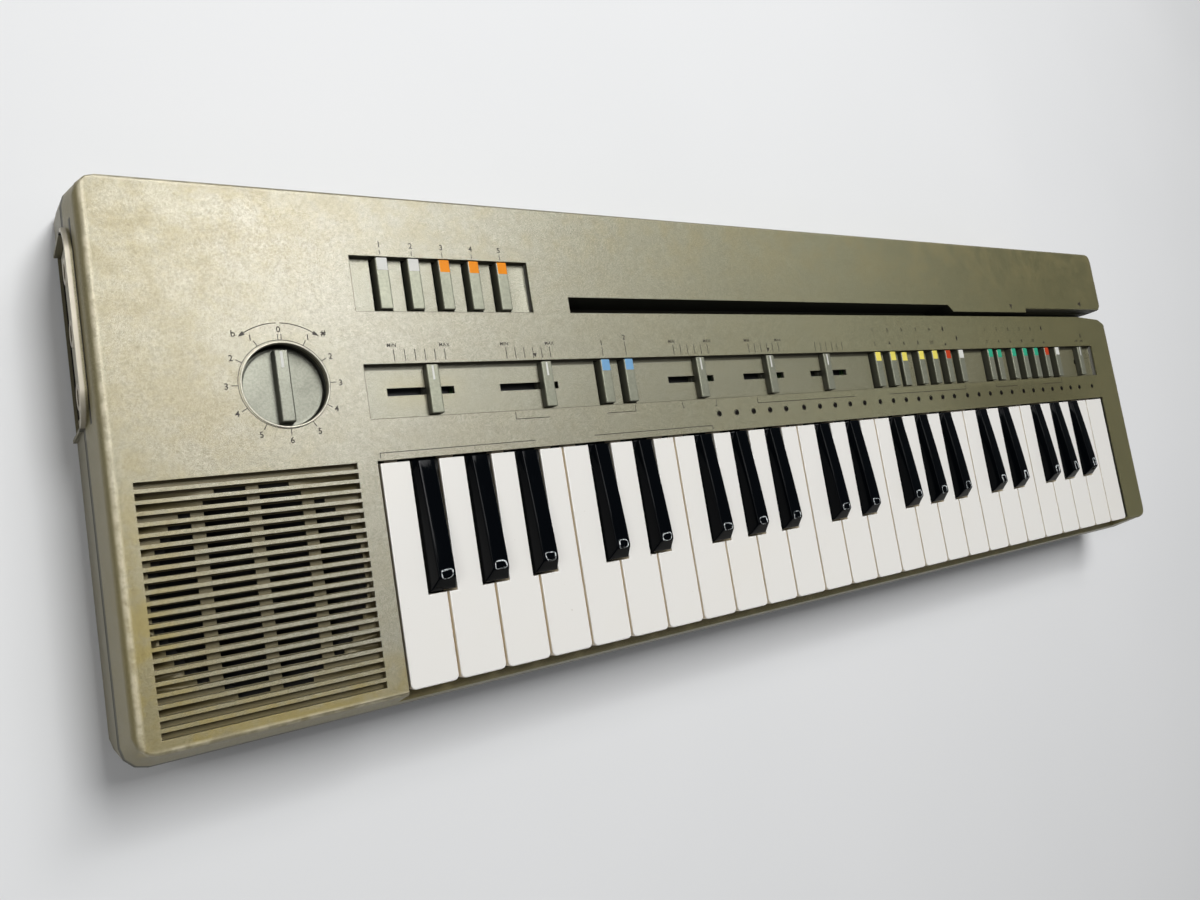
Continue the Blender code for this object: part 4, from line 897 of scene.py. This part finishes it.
# Controls on the panel
def cap(shape, low, high, tip=None):
    """A button: sides in a dark finish as painted shade, a silver top with rounded edges and an
    inlaid tip at the rear.
    """
    top = high[2] - (0.00005 if tip else 0.0)
    split = top - 0.0007
    shape.block(low, (high[0], high[1], split), 0.0003, 0.00002, 1, 1)
    shape.block((low[0], low[1], split), (high[0], high[1], top), 0.0004, 0.0004, 4)
    if tip:
        inset = 0.0004
        shape.block((low[0] + inset, high[1] - TIP_LENGTH, top - 0.0012),
                    (high[0] - inset / 2, high[1] + 0.00003, high[2]), 0.00025, 0.00015, 2, tip)


def index_line(shape, x, y0, y1, z, width=0.0008):
    """White inlaid line, a hair proud of the surface it lies in."""
    shape.block((x - width / 2, y0, z - 0.0004), (x + width / 2, y1, z + PROUD),
                0.0001, 0.00003, 2, 2)


def bank(node, well, places, tips, down=()):
    """Board under a well with its row of buttons; tips are numbers of finishes."""
    shape = Shape()
    low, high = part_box(node)
    top = PANEL_Z - BOARD_DEPTH
    shape.block((low.x, well[0] + 0.0014, top - 0.0016), (high.x, well[1] - 0.0014, top),
                0.0008, 0.0002, 2, 2)
    for k, (x, tip) in enumerate(zip(places, tips)):
        cap(shape, (x - CAP_WIDTH / 2, well[0] + CAP_END_GAP, top - 0.0008),
            (x + CAP_WIDTH / 2, well[1] - CAP_END_GAP,
             PANEL_Z + CAP_RISE - (PRESSED if k in down else 0.0)), tip)
    return shape


class KEYBOARD_OT_buttons(bpy.types.Operator):
    """Push buttons of the card well and of the main well, on their boards"""

    bl_idname = "keyboard.buttons"
    bl_label = "Push Buttons"

    def execute(self, context):
        made = tones()
        looks = [made["cap"], made["side"], board_look(), *(made[name] for name in TIPS),
                 socket_black()]
        orange, blue, yellow, green, red, white, black = range(3, 10)
        card = [KEY_X + CARD_PLACE * PITCH + k * CARD_PITCH for k in range(5)]
        shape = bank("card_button_board", CARD_WELL, card, [white] * 2 + [orange] * 3)
        shape.make("card_buttons", looks, "card_button_board", "control_silver", True)
        main = [KEY_X + first * PITCH + k * BANK_PITCH / 1000
                for first, count in BANK_PLACES for k in range(count)]
        tips = [blue] * 2 + [yellow] * 5 + [red, white] + [green] * 5 + [red, white]
        shape = bank("control_board", MAIN_WELL, main, tips, (4, 10))
        middle = sum(MAIN_WELL) / 2
        tracks = [(place * PITCH, SLIDER_REACH) for place in SLIDER_PLACES]
        for x, travel in (*tracks, (SWITCH_PLACE * PITCH + SWITCH_REACH, SWITCH_REACH)):
            reach = travel + CAP_WIDTH / 2 + 0.001
            shape.block((KEY_X + x - reach, middle - 0.004, PANEL_Z - 0.0104),
                        (KEY_X + x + reach, middle + 0.004, PANEL_Z - 0.0076),
                        0.0006, 0.0003, 2, black)
        shape.make("main_buttons", looks, "control_board", "control_silver", True)
        return {'FINISHED'}


class KEYBOARD_OT_sliders(bpy.types.Operator):
    """Five volume and tempo sliders and the power switch, each with a white index line"""

    bl_idname = "keyboard.sliders"
    bl_label = "Sliders and Switch"

    def execute(self, context):
        made = tones()
        looks = [made["cap"], made["side"], made["white"]]
        middle = sum(MAIN_WELL) / 2
        floor = WELL_Z + 0.0003
        for node in ("master_volume_slider", "chord_volume_slider", "arpeggio_volume_slider",
                     "rhythm_volume_slider", "tempo_slider", "power_switch"):
            low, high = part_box(node)
            top = high.z - PROUD
            shape = Shape()
            cap(shape, (low.x, low.y, floor), (high.x, high.y, top))
            index_line(shape, (low.x + high.x) / 2, high.y - 0.0058, high.y - 0.0004, top)
            shape.block((low.x + 0.0004, middle - 0.00115, low.z + 0.001),
                        (high.x - 0.0004, middle + 0.00115, floor + 0.0004), 0.0004, 0.0001, 2, 1)
            shape.block((low.x, middle - 0.004, low.z), (high.x, middle + 0.004, low.z + 0.0022),
                        0.0005, 0.0003, 2, 1)
            shape.make(f"{node}_cap", looks, node, "control_silver", True)
        return {'FINISHED'}


class KEYBOARD_OT_knob(bpy.types.Operator):
    """Sunk turning knob with a finger bar, and the bevelled ring round its well"""

    bl_idname = "keyboard.knob"
    bl_label = "Knob"

    def execute(self, context):
        made = tones()
        low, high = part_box("transposer_knob")
        x, y = (low.x + high.x) / 2, (low.y + high.y) / 2
        top = PANEL_Z - KNOB_DEPTH
        bar_top = high.z - PROUD
        shape = Shape()
        shape.loft(turned((x, y, top), (
            (0.003, low.z - top), (0.003, -0.002), (0.0142, -0.002), (0.0142, -0.0004),
            (0.0141, -0.0002), (0.0139, -0.00005), (0.0136, 0.0), (0.0133, 0.0),
            (0.0131, -0.00012), (0.0127, -0.00012)), KNOB_SIDES))
        bar = rounded_block((x - 0.0025, y - 0.0127, top - 0.001),
                            (x + 0.0025, y + 0.0127, bar_top), 0.0005, 0.0005, 4)
        lift = np.clip((bar[..., 2] - top) / (high.z - top), 0, 1)
        bar[..., 0] = x + (bar[..., 0] - x) * (1 - 0.07 * lift)
        bar[..., 1] = y + (bar[..., 1] - y) * (1 - 0.02 * lift)
        # The bar's lower part takes the dark side finish, painted shade.
        shape.loft(bar[:2], 1)
        shape.loft(bar[1:])
        index_line(shape, x, y + 0.0062, y + 0.0118, bar_top, 0.0009)
        shape.make("turning_knob", [made["knob"], made["side"], made["white"]],
                   "transposer_knob", "control_silver", True)
        ring = Shape()
        ring.hoop(turned((x, y, PANEL_Z), (
            (0.0, -0.0012), (0.0007, -0.0012), (0.0007, 0.00014), (0.0006, 0.00024),
            (0.0005, 0.00028), (0.0002, 0.00028), (0.0001, 0.0002), (0.0, 0.0)),
            KNOB_SIDES, KNOB_WALL))
        ring.make("knob_ring", [flake_look("ring_silver", (0.47, 0.45, 0.37))], "top_case",
                  "painted_case", smooth=50)
        return {'FINISHED'}


def lamp_places():
    """X of the thirty key lamps: five over each three white keys from C to E, seven over F to B."""
    groups = ((7, 4, 7, 0.01067), (11, 3, 5, 0.0112), (14, 4, 7, 0.01067), (18, 3, 5, 0.0112),
              (21, 4, 7, 0.01067), (25, 1, 1, 0.0))
    return np.concatenate([
        KEY_X + (first + keys / 2) * PITCH + (np.arange(count) - (count - 1) / 2) * step
        for first, keys, count, step in groups])[-30:]


class KEYBOARD_OT_lamps(bpy.types.Operator):
    """Thirty small key lamps behind the keys"""

    bl_idname = "keyboard.lamps"
    bl_label = "Key Lamps"

    def execute(self, context):
        lens = ((0.00106, -0.0003), (0.00102, 0.0), (0.0008, 0.00016), (0.0004, 0.00022),
                (0.0001, 0.00024))
        collar = ((0.00108, -0.002), (0.00142, -0.0018), (0.00142, 0.00005), (0.00134, 0.0001),
                  (0.00116, 0.0001), (0.00108, -0.00005))
        shape = Shape()
        for x in lamp_places():
            shape.loft(turned((x, LAMP_Y, PANEL_Z), collar, 16), 1)
            shape.loft(turned((x, LAMP_Y, PANEL_Z), lens, 16))
        shape.make("key_lamps", [
            plastic_look("lamp_lens", (0.004, 0.002, 0.002), 0.5, 400.0, 0.000004, 0.1),
            plastic_look("lamp_collar", (0.006, 0.006, 0.005), 0.6, gloss=0.1)],
            "top_case", "black_key")
        return {'FINISHED'}


# Printed marks, in millimetres from the first key's front left corner
KNOB = np.array([-29.0, 108.65])
THIN = 0.3
POINTER_RADIUS = 21.1
POINTER_TURN = 33
RIM_RADIUS = 15.18
TICK_RADII = (15.3, 17.3)
SCALE_Y = (115.6, 120.0)
GROUP_Y = 91.5
CARD_Y = 82.7


def spot(x, y):
    """World X and Y of a place on the panel."""
    return np.array([KEY_X + x / 1000, KEY_Y + y / 1000])


def round_knob(degrees):
    """Unit rays from the knob at clockwise angles from the rear."""
    turn = np.radians(degrees)
    return np.stack([np.sin(turn), np.cos(turn)], -1)


def lines():
    """Straight printed lines as rows of x0, y0, x1, y1."""
    rows = [(x, SCALE_Y[0], x, SCALE_Y[1]) for x in (
        10.8, 15, 19, 22.9, 26.9, 30.9, 57, 61, 65, 69, 73, 77, 141, 145, 149, 153, 157, 161,
        186.5, 190.5, 194.5, 198.5, 202.3, 206.3, 232, 236, 240, 244.3, 248, 252)]
    rows += [(10.8 + 12.4 * k, 155.4, 10.8 + 12.4 * k, 157.2) for k in range(5)]
    rows += [(102.7, 115.8, 102.7, 119.5), (114.8, 115.8, 114.8, 121.8)]
    for x0, x1, gap0, gap1 in ((57, 115, 72, 100), (141, 160.7, 141.8, 159.9),
                               (186.3, 350, 255, 282), (380, 452, 402, 430)):
        rows += [(x0, GROUP_Y, gap0, GROUP_Y), (gap1, GROUP_Y, x1, GROUP_Y)]
        rows += [(x, GROUP_Y - 0.1, x, GROUP_Y + 2.7) for x in (x0, x1)]
    rows += [(0.5, CARD_Y, 64, CARD_Y), (92, CARD_Y, 156, CARD_Y)]
    rows += [(x, CARD_Y + 0.1, x, CARD_Y - 1.8) for x in (0.5, 156)]
    ray = round_knob([-2.0, 2.0, *range(30, 331, 30)])
    return np.concatenate([rows, np.hstack([KNOB + radius * ray for radius in TICK_RADII])])


def strokes(shape, rows):
    """Low bars for straight lines: half the width to each side, and the ink's height."""
    start, stop = rows[:, 0:2], rows[:, 2:4]
    along = stop - start
    along /= np.linalg.norm(along, axis=1, keepdims=True)
    side = np.stack([-along[:, 1], along[:, 0]], -1) * THIN / 2
    plan = np.stack([start - side, stop - side, stop + side, start + side], 1)
    plan = (KEY_X, KEY_Y) + plan / 1000
    points = np.concatenate([np.concatenate([plan, np.full_like(plan[..., :1], z)], -1)
                             for z in (PANEL_Z - INK_ROOT, PANEL_Z + INK_RISE)], 1)
    first = shape.count + 8 * np.arange(len(rows))[:, None, None]
    box = np.array([(3, 2, 1, 0), (4, 5, 6, 7), (0, 1, 5, 4), (1, 2, 6, 5), (2, 3, 7, 6),
                    (3, 0, 4, 7)])
    shape.add(points, (first + box).reshape(-1, 4).tolist())


def patch(shape, points):
    """A low printed shape from anticlockwise points in millimetres."""
    plan = spot(0, 0) + np.array(points) / 1000
    shape.loft(np.array([lifted(plan, PANEL_Z - INK_ROOT), lifted(plan, PANEL_Z + INK_RISE)]))


def band(shape, radius, start, stop, width):
    """A printed arc about the knob, clockwise angles from the rear in degrees."""
    ray = round_knob(np.linspace(start, stop, 40))
    patch(shape, np.concatenate([KNOB + ray * (radius + width / 2),
                                 (KNOB + ray * (radius - width / 2))[::-1]])[::-1])


def words(shape, rows):
    """Letters and figures as raised ink; rows hold text, x, y and height in mm."""
    for text, x, y, height in rows:
        curve = bpy.data.curves.new("letters", 'FONT')
        curve.body = text
        curve.size = height / 0.7 / 1000
        curve.align_x = 'CENTER'
        curve.align_y = 'CENTER'
        curve.extrude = INK_RISE / 2
        curve.offset = height * 0.022 / 1000
        curve.space_character = 1.08
        curve.resolution_u = 3
        holder = bpy.data.objects.new("letters", curve)
        mesh = bpy.data.meshes.new_from_object(holder)
        mesh.transform(Matrix.Translation((*spot(x, y), PANEL_Z + INK_RISE / 2)))
        points = np.empty(len(mesh.vertices) * 3)
        mesh.vertices.foreach_get("co", points)
        shape.add(points, [[shape.count + k for k in face.vertices] for face in mesh.polygons])
        bpy.data.objects.remove(holder)
        bpy.data.curves.remove(curve)
        bpy.data.meshes.remove(mesh)


def figures():
    """Figures and switch words on the panel."""
    dial = ((0, -29.1, 127.4), (1, -38.6, 124.6), (1, -19.5, 124.6), (2, -45.5, 117.8),
            (2, -12.5, 117.8), (3, -47.9, 108.4), (3, -10.1, 108.4), (4, -45.5, 99.2),
            (4, -12.7, 99.3), (5, -38.7, 91.9), (5, -19.4, 91.9), (6, -29.0, 89.4))
    rows = [(str(number), x, y, 2.05) for number, x, y in dial]
    rows += [("b", -43.9, 126.1, 2.2), ("#", -14.0, 126.1, 2.2)]
    for first, last in ((10.8, 30.9), (57, 77), (141, 161), (186.5, 206.3)):
        rows += [("MIN", first - 0.5, 121.4, 1.35), ("MAX", last + 0.2, 121.4, 1.35)]
    rows += [(str(k + 1), 10.8 + 12.4 * k, 159.2, 2.1) for k in range(5)]
    rows += [("1", 102.7, 121.2, 2.1), ("2", 114.8, 123.5, 2.1)]
    rows += [(str(2 * k + row + 1), first + BANK_PITCH * k, y, 2.0)
             for first in (277.9, 379.6) for row, y in enumerate((126.1, 118.7)) for k in range(5)]
    return rows + [("OFF", 479.0, 118.0, 1.3), ("ON", 485.6, 118.0, 1.3)]


class KEYBOARD_OT_marks(bpy.types.Operator):
    """Printed scales, arcs, pointers, dots and figures on the panel"""

    bl_idname = "keyboard.marks"
    bl_label = "Printed Marks"

    def execute(self, context):
        shape = Shape()
        strokes(shape, lines())
        for x, y in ((69.8, 116.8), (199.2, 117.0)):
            patch(shape, [(x, y - 1.0), (x + 0.9, y + 0.7), (x - 0.9, y + 0.7)])
        patch(shape, [(412.3, 138.8), (413.7, 141.8), (410.9, 141.8)])
        patch(shape, [(490.6, 143.0), (494.4, 141.3), (494.4, 144.7)])
        for side in (-1, 1):
            band(shape, POINTER_RADIUS, *sorted((side * 1.8, side * POINTER_TURN)), THIN)
            band(shape, RIM_RADIUS, *sorted((0, side * 180)), 0.24)
            across = round_knob(side * POINTER_TURN)
            ahead = side * np.array([across[1], -across[0]])
            tail = KNOB + POINTER_RADIUS * across
            wing = side * 0.8 * across
            patch(shape, [tail - wing, tail + ahead * 2.4, tail + wing])
        for x, y, wide, deep in ((339, 126.5, 0.8, 1.4), (339, 117.6, 0.8, 0.7),
                                 (350.5, 121.2, 0.7, 1.4), (440.5, 126.5, 0.8, 1.4),
                                 (440.5, 117.6, 0.8, 0.7), (485.5, 121.6, 0.6, 1.6)):
            patch(shape, (x, y) + arc(0, 4, 13)[:-1] * (wide, deep))
        letters = Shape()
        words(letters, figures())
        for name, marks in (("panel_lines", shape), ("panel_figures", letters)):
            marks.make(name, [ink_look()], "top_case", "painted_case", smooth=30)
        return {'FINISHED'}


# Sockets, underside and the assemblies inside
class KEYBOARD_OT_sockets(bpy.types.Operator):
    """Socket plate in the left bay with three jacks"""

    bl_idname = "keyboard.sockets"
    bl_label = "Sockets"

    def execute(self, context):
        copy_of("socket_panel", "socket_plate",
                [plastic_look("socket_plastic", (0.36, 0.335, 0.26), 0.5)])
        low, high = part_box("socket_panel")
        barrel = ((0.0046, 0.0), (0.0046, -0.0009), (0.0042, -0.0012), (0.0034, -0.0012),
                  (0.0031, -0.001), (0.0031, 0.0105), (0.0046, 0.0105))
        lining = ((0.003, 0.01), (0.003, 0.0), (0.0024, -0.0004), (0.0019, -0.0004),
                  (0.0018, 0.0002), (0.0018, 0.009))
        shape = Shape()
        for k in range(3):
            place = (low.x, low.y + (high.y - low.y) * (k + 0.5) / 3, PANEL_Z - 0.0252)
            outer, inner = [turned(np.zeros(3), profile, 32)[..., [2, 0, 1]] + place
                            for profile in (barrel, lining)]
            shape.loft(outer[:, ::-1])
            shape.loft(inner, 1)
        shape.make("jacks", [flake_look("jack_steel", (0.42, 0.38, 0.3), 0.35, 0.7),
                             socket_black()], "socket_panel", "socket_plate")
        return {'FINISHED'}


class KEYBOARD_OT_underside(bpy.types.Operator):
    """Battery cover with its grip and five case screws"""

    bl_idname = "keyboard.underside"
    bl_label = "Underside"

    def execute(self, context):
        over = (1, -1, -1)
        copy_of("battery_cover", "battery_lid", [paint_look()], 0.0002)
        low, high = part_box("battery_cover")
        middle = (low.x + high.x) / 2
        grip = Shape()
        for k in range(6):
            y = high.y - 0.012 - k * 0.0022
            grip.loft(over * rounded_block((middle - 0.011, -y - 0.0005, -0.0021),
                                           (middle + 0.011, -y + 0.0005, -0.0015),
                                           0.0004, 0.0003, 3))
        grip.make("lid_grip", [paint_look()], "battery_cover", "painted_case")
        screws = Shape()
        front, rear = KEY_Y + 0.012, FACE_REAR - 0.0081
        centre = KEY_X + WHITES / 2 * PITCH
        head = turned(np.zeros(3), (
            (0.0036, -0.0004), (0.0036, 0.00015), (0.0033, 0.0002), (0.0031, 0.0),
            (0.003, -0.0001), (0.0026, 0.00018), (0.0016, 0.00026), (0.0004, 0.00028)), 24)
        for x, y in ((LEFT + 0.04, front), (RIGHT - 0.04, front), (centre, front),
                     (RIGHT - 0.04, rear), (centre, rear)):
            place = (x, y, BASE_Z)
            screws.loft(head * over + place)
            for wide, deep in ((0.0016, 0.0004), (0.0004, 0.0016)):
                slot = rounded_block((-wide, -deep, 0.0), (wide, deep, 0.00034), 0.0001, 0.00002, 1)
                screws.loft(slot * over + place, 1)
        screws.make("case_screws", [flake_look("screw_steel", (0.3, 0.3, 0.29), 0.35, 0.85),
                                    socket_black()], "bottom_case", "socket_plate")
        return {'FINISHED'}


class KEYBOARD_OT_insides(bpy.types.Operator):
    """Key frame, main board and loudspeaker inside the case"""

    bl_idname = "keyboard.insides"
    bl_label = "Insides"

    def execute(self, context):
        copy_of("key_frame", "key_bed",
                [plastic_look("frame_plastic", (0.03, 0.03, 0.028), 0.6)])
        copy_of("main_circuit_board", "main_board", [board_look()], 0.0003)
        copy_of("loudspeaker", "speaker",
                [plastic_look("paper_cone", (0.012, 0.011, 0.009), 0.85, 500.0, 0.00006)])
        return {'FINISHED'}


# Stage
CAMERA_PLACE = (-0.337, -0.0484, 0.3535)
CAMERA_TURN = (11.63, -33.493, -11.004)
BACKDROP = (0.71, 0.715, 0.715)
FLOOR_REACH = 6.0
LAMPS = (("overhead", (0.01, 0.6, 1.5), (-0.03, 0.0, 0.0), (0.48, 0.7), 0.86),
         ("rear", (0.42, 1.05, 1.5), (0.0, 0.0, 0.0), (0.46, 0.44), 0.33),
         ("window", (-1.3, 0.1, 1.15), (0.0, 0.0, 0.0), (0.6, 0.6), 0.24),
         ("glint", (1.6, -0.5, 0.72), (0.1, 0.0, 0.0), (0.14, 0.1), 0.022))


def lamp(name, place, aim, size, power):
    """A rectangular soft lamp that faces a point."""
    light = bpy.data.lights.new(name, 'AREA')
    light.shape = 'RECTANGLE'
    light.size, light.size_y = size
    light.energy = power
    made = added(name, light)
    made.location = place
    made.rotation_euler = (Vector(aim) - Vector(place)).to_track_quat('-Z', 'Y').to_euler()


@cache
def floor_look():
    """Pale laminate with a faint ripple, which runs out into the backdrop's tone."""
    look = Look("pale_floor", (0.72, 0.74, 0.76), 0.55)
    x, y = look.axes()[:2]
    ripple = look.noise(4.0, 3.0, 0.5)
    seen = look.node("ShaderNodeLightPath", out="Is Camera Ray")
    distant = (x * x + y * y).ramp(0.5, 2.2) * seen
    near = look.mix(ripple, (0.735, 0.745, 0.75), (0.79, 0.795, 0.8))
    dark = (0.0, 0.0, 0.0)
    look.feed({"Base Color": look.mix(distant, near, dark),
               "Emission Color": look.mix(distant, dark, BACKDROP), "Emission Strength": 1.0,
               "Specular IOR Level": 0.2, "Roughness": 0.5 + ripple * 0.1})
    return look


class KEYBOARD_OT_stage(bpy.types.Operator):
    """Camera, soft lamps, surroundings and a pale floor"""

    bl_idname = "keyboard.stage"
    bl_label = "Stage"

    def execute(self, context):
        scene = context.scene
        stage = scene.keyboard_stage
        sight = bpy.data.cameras.new("view")
        sight.lens = stage.lens
        sight.sensor_width = 36
        camera = added("view", sight)
        camera.location = CAMERA_PLACE
        camera.rotation_euler = [math.radians(angle) for angle in CAMERA_TURN]
        scene.camera = camera
        for name, place, aim, size, share in LAMPS:
            lamp(name, place, aim, size, stage.key * share)
        scene.world = bpy.data.worlds.new("surroundings")
        sky = Tree(scene.world)
        glow = sky.nodes["Background"]
        sky.fill(glow, {"Color": (0.98, 0.98, 1.0, 1.0), "Strength": stage.world})
        backdrop = sky.node("ShaderNodeBackground", {}, {"Color": (*BACKDROP, 1.0)})
        seen = sky.node("ShaderNodeLightPath", out="Is Camera Ray")
        choice = sky.node("ShaderNodeMixShader", {},
                          {0: seen, 1: Wire(sky, glow.outputs[0]), 2: backdrop})
        sky.fill(sky.nodes["World Output"], {"Surface": choice})
        mesh = bpy.data.meshes.new("floor")
        mesh.from_pydata([(x * FLOOR_REACH, y * FLOOR_REACH, 0) for x, y in (
            (-1, -1), (1, -1), (1, 1), (-1, 1))], [], [(0, 1, 2, 3)])
        mesh.materials.append(floor_look().material)
        floor = added("floor", mesh)
        scene.view_settings.view_transform = 'Standard'
        return {'FINISHED'}


OPERATORS = (KEYBOARD_OT_case, KEYBOARD_OT_white_keys, KEYBOARD_OT_black_keys,
             KEYBOARD_OT_buttons, KEYBOARD_OT_sliders, KEYBOARD_OT_knob, KEYBOARD_OT_lamps,
             KEYBOARD_OT_marks, KEYBOARD_OT_sockets, KEYBOARD_OT_underside,
             KEYBOARD_OT_insides, KEYBOARD_OT_stage)
GROUPS = {"keyboard_paint": KeyboardPaint, "keyboard_keys": KeyboardKeys,
          "keyboard_controls": KeyboardControls, "keyboard_stage": KeyboardStage}


class KEYBOARD_PT_panel(bpy.types.Panel):
    """Sizes, colours and steps of the keyboard"""

    bl_idname = "KEYBOARD_PT_panel"
    bl_label = "Portable Keyboard"
    bl_space_type = 'VIEW_3D'
    bl_region_type = 'UI'
    bl_category = "Keyboard"

    def draw(self, context):
        for name in GROUPS:
            group = getattr(context.scene, name)
            box = self.layout.box()
            box.label(text=name.replace("_", " ").title())
            for setting in group.__annotations__:
                box.prop(group, setting)
        for operator in OPERATORS:
            self.layout.operator(operator.bl_idname)


def register():
    for name, group in GROUPS.items():
        bpy.utils.register_class(group)
        setattr(bpy.types.Scene, name, PointerProperty(type=group))
    for entry in (*OPERATORS, KEYBOARD_PT_panel):
        bpy.utils.register_class(entry)


def unregister():
    for entry in (KEYBOARD_PT_panel, *reversed(OPERATORS)):
        bpy.utils.unregister_class(entry)
    for name, group in GROUPS.items():
        delattr(bpy.types.Scene, name)
        bpy.utils.unregister_class(group)


def main():
    register()
    for operator in OPERATORS:
        getattr(bpy.ops.keyboard, operator.bl_idname.split(".")[1])()
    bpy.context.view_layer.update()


if __name__ == "__main__":
    main()
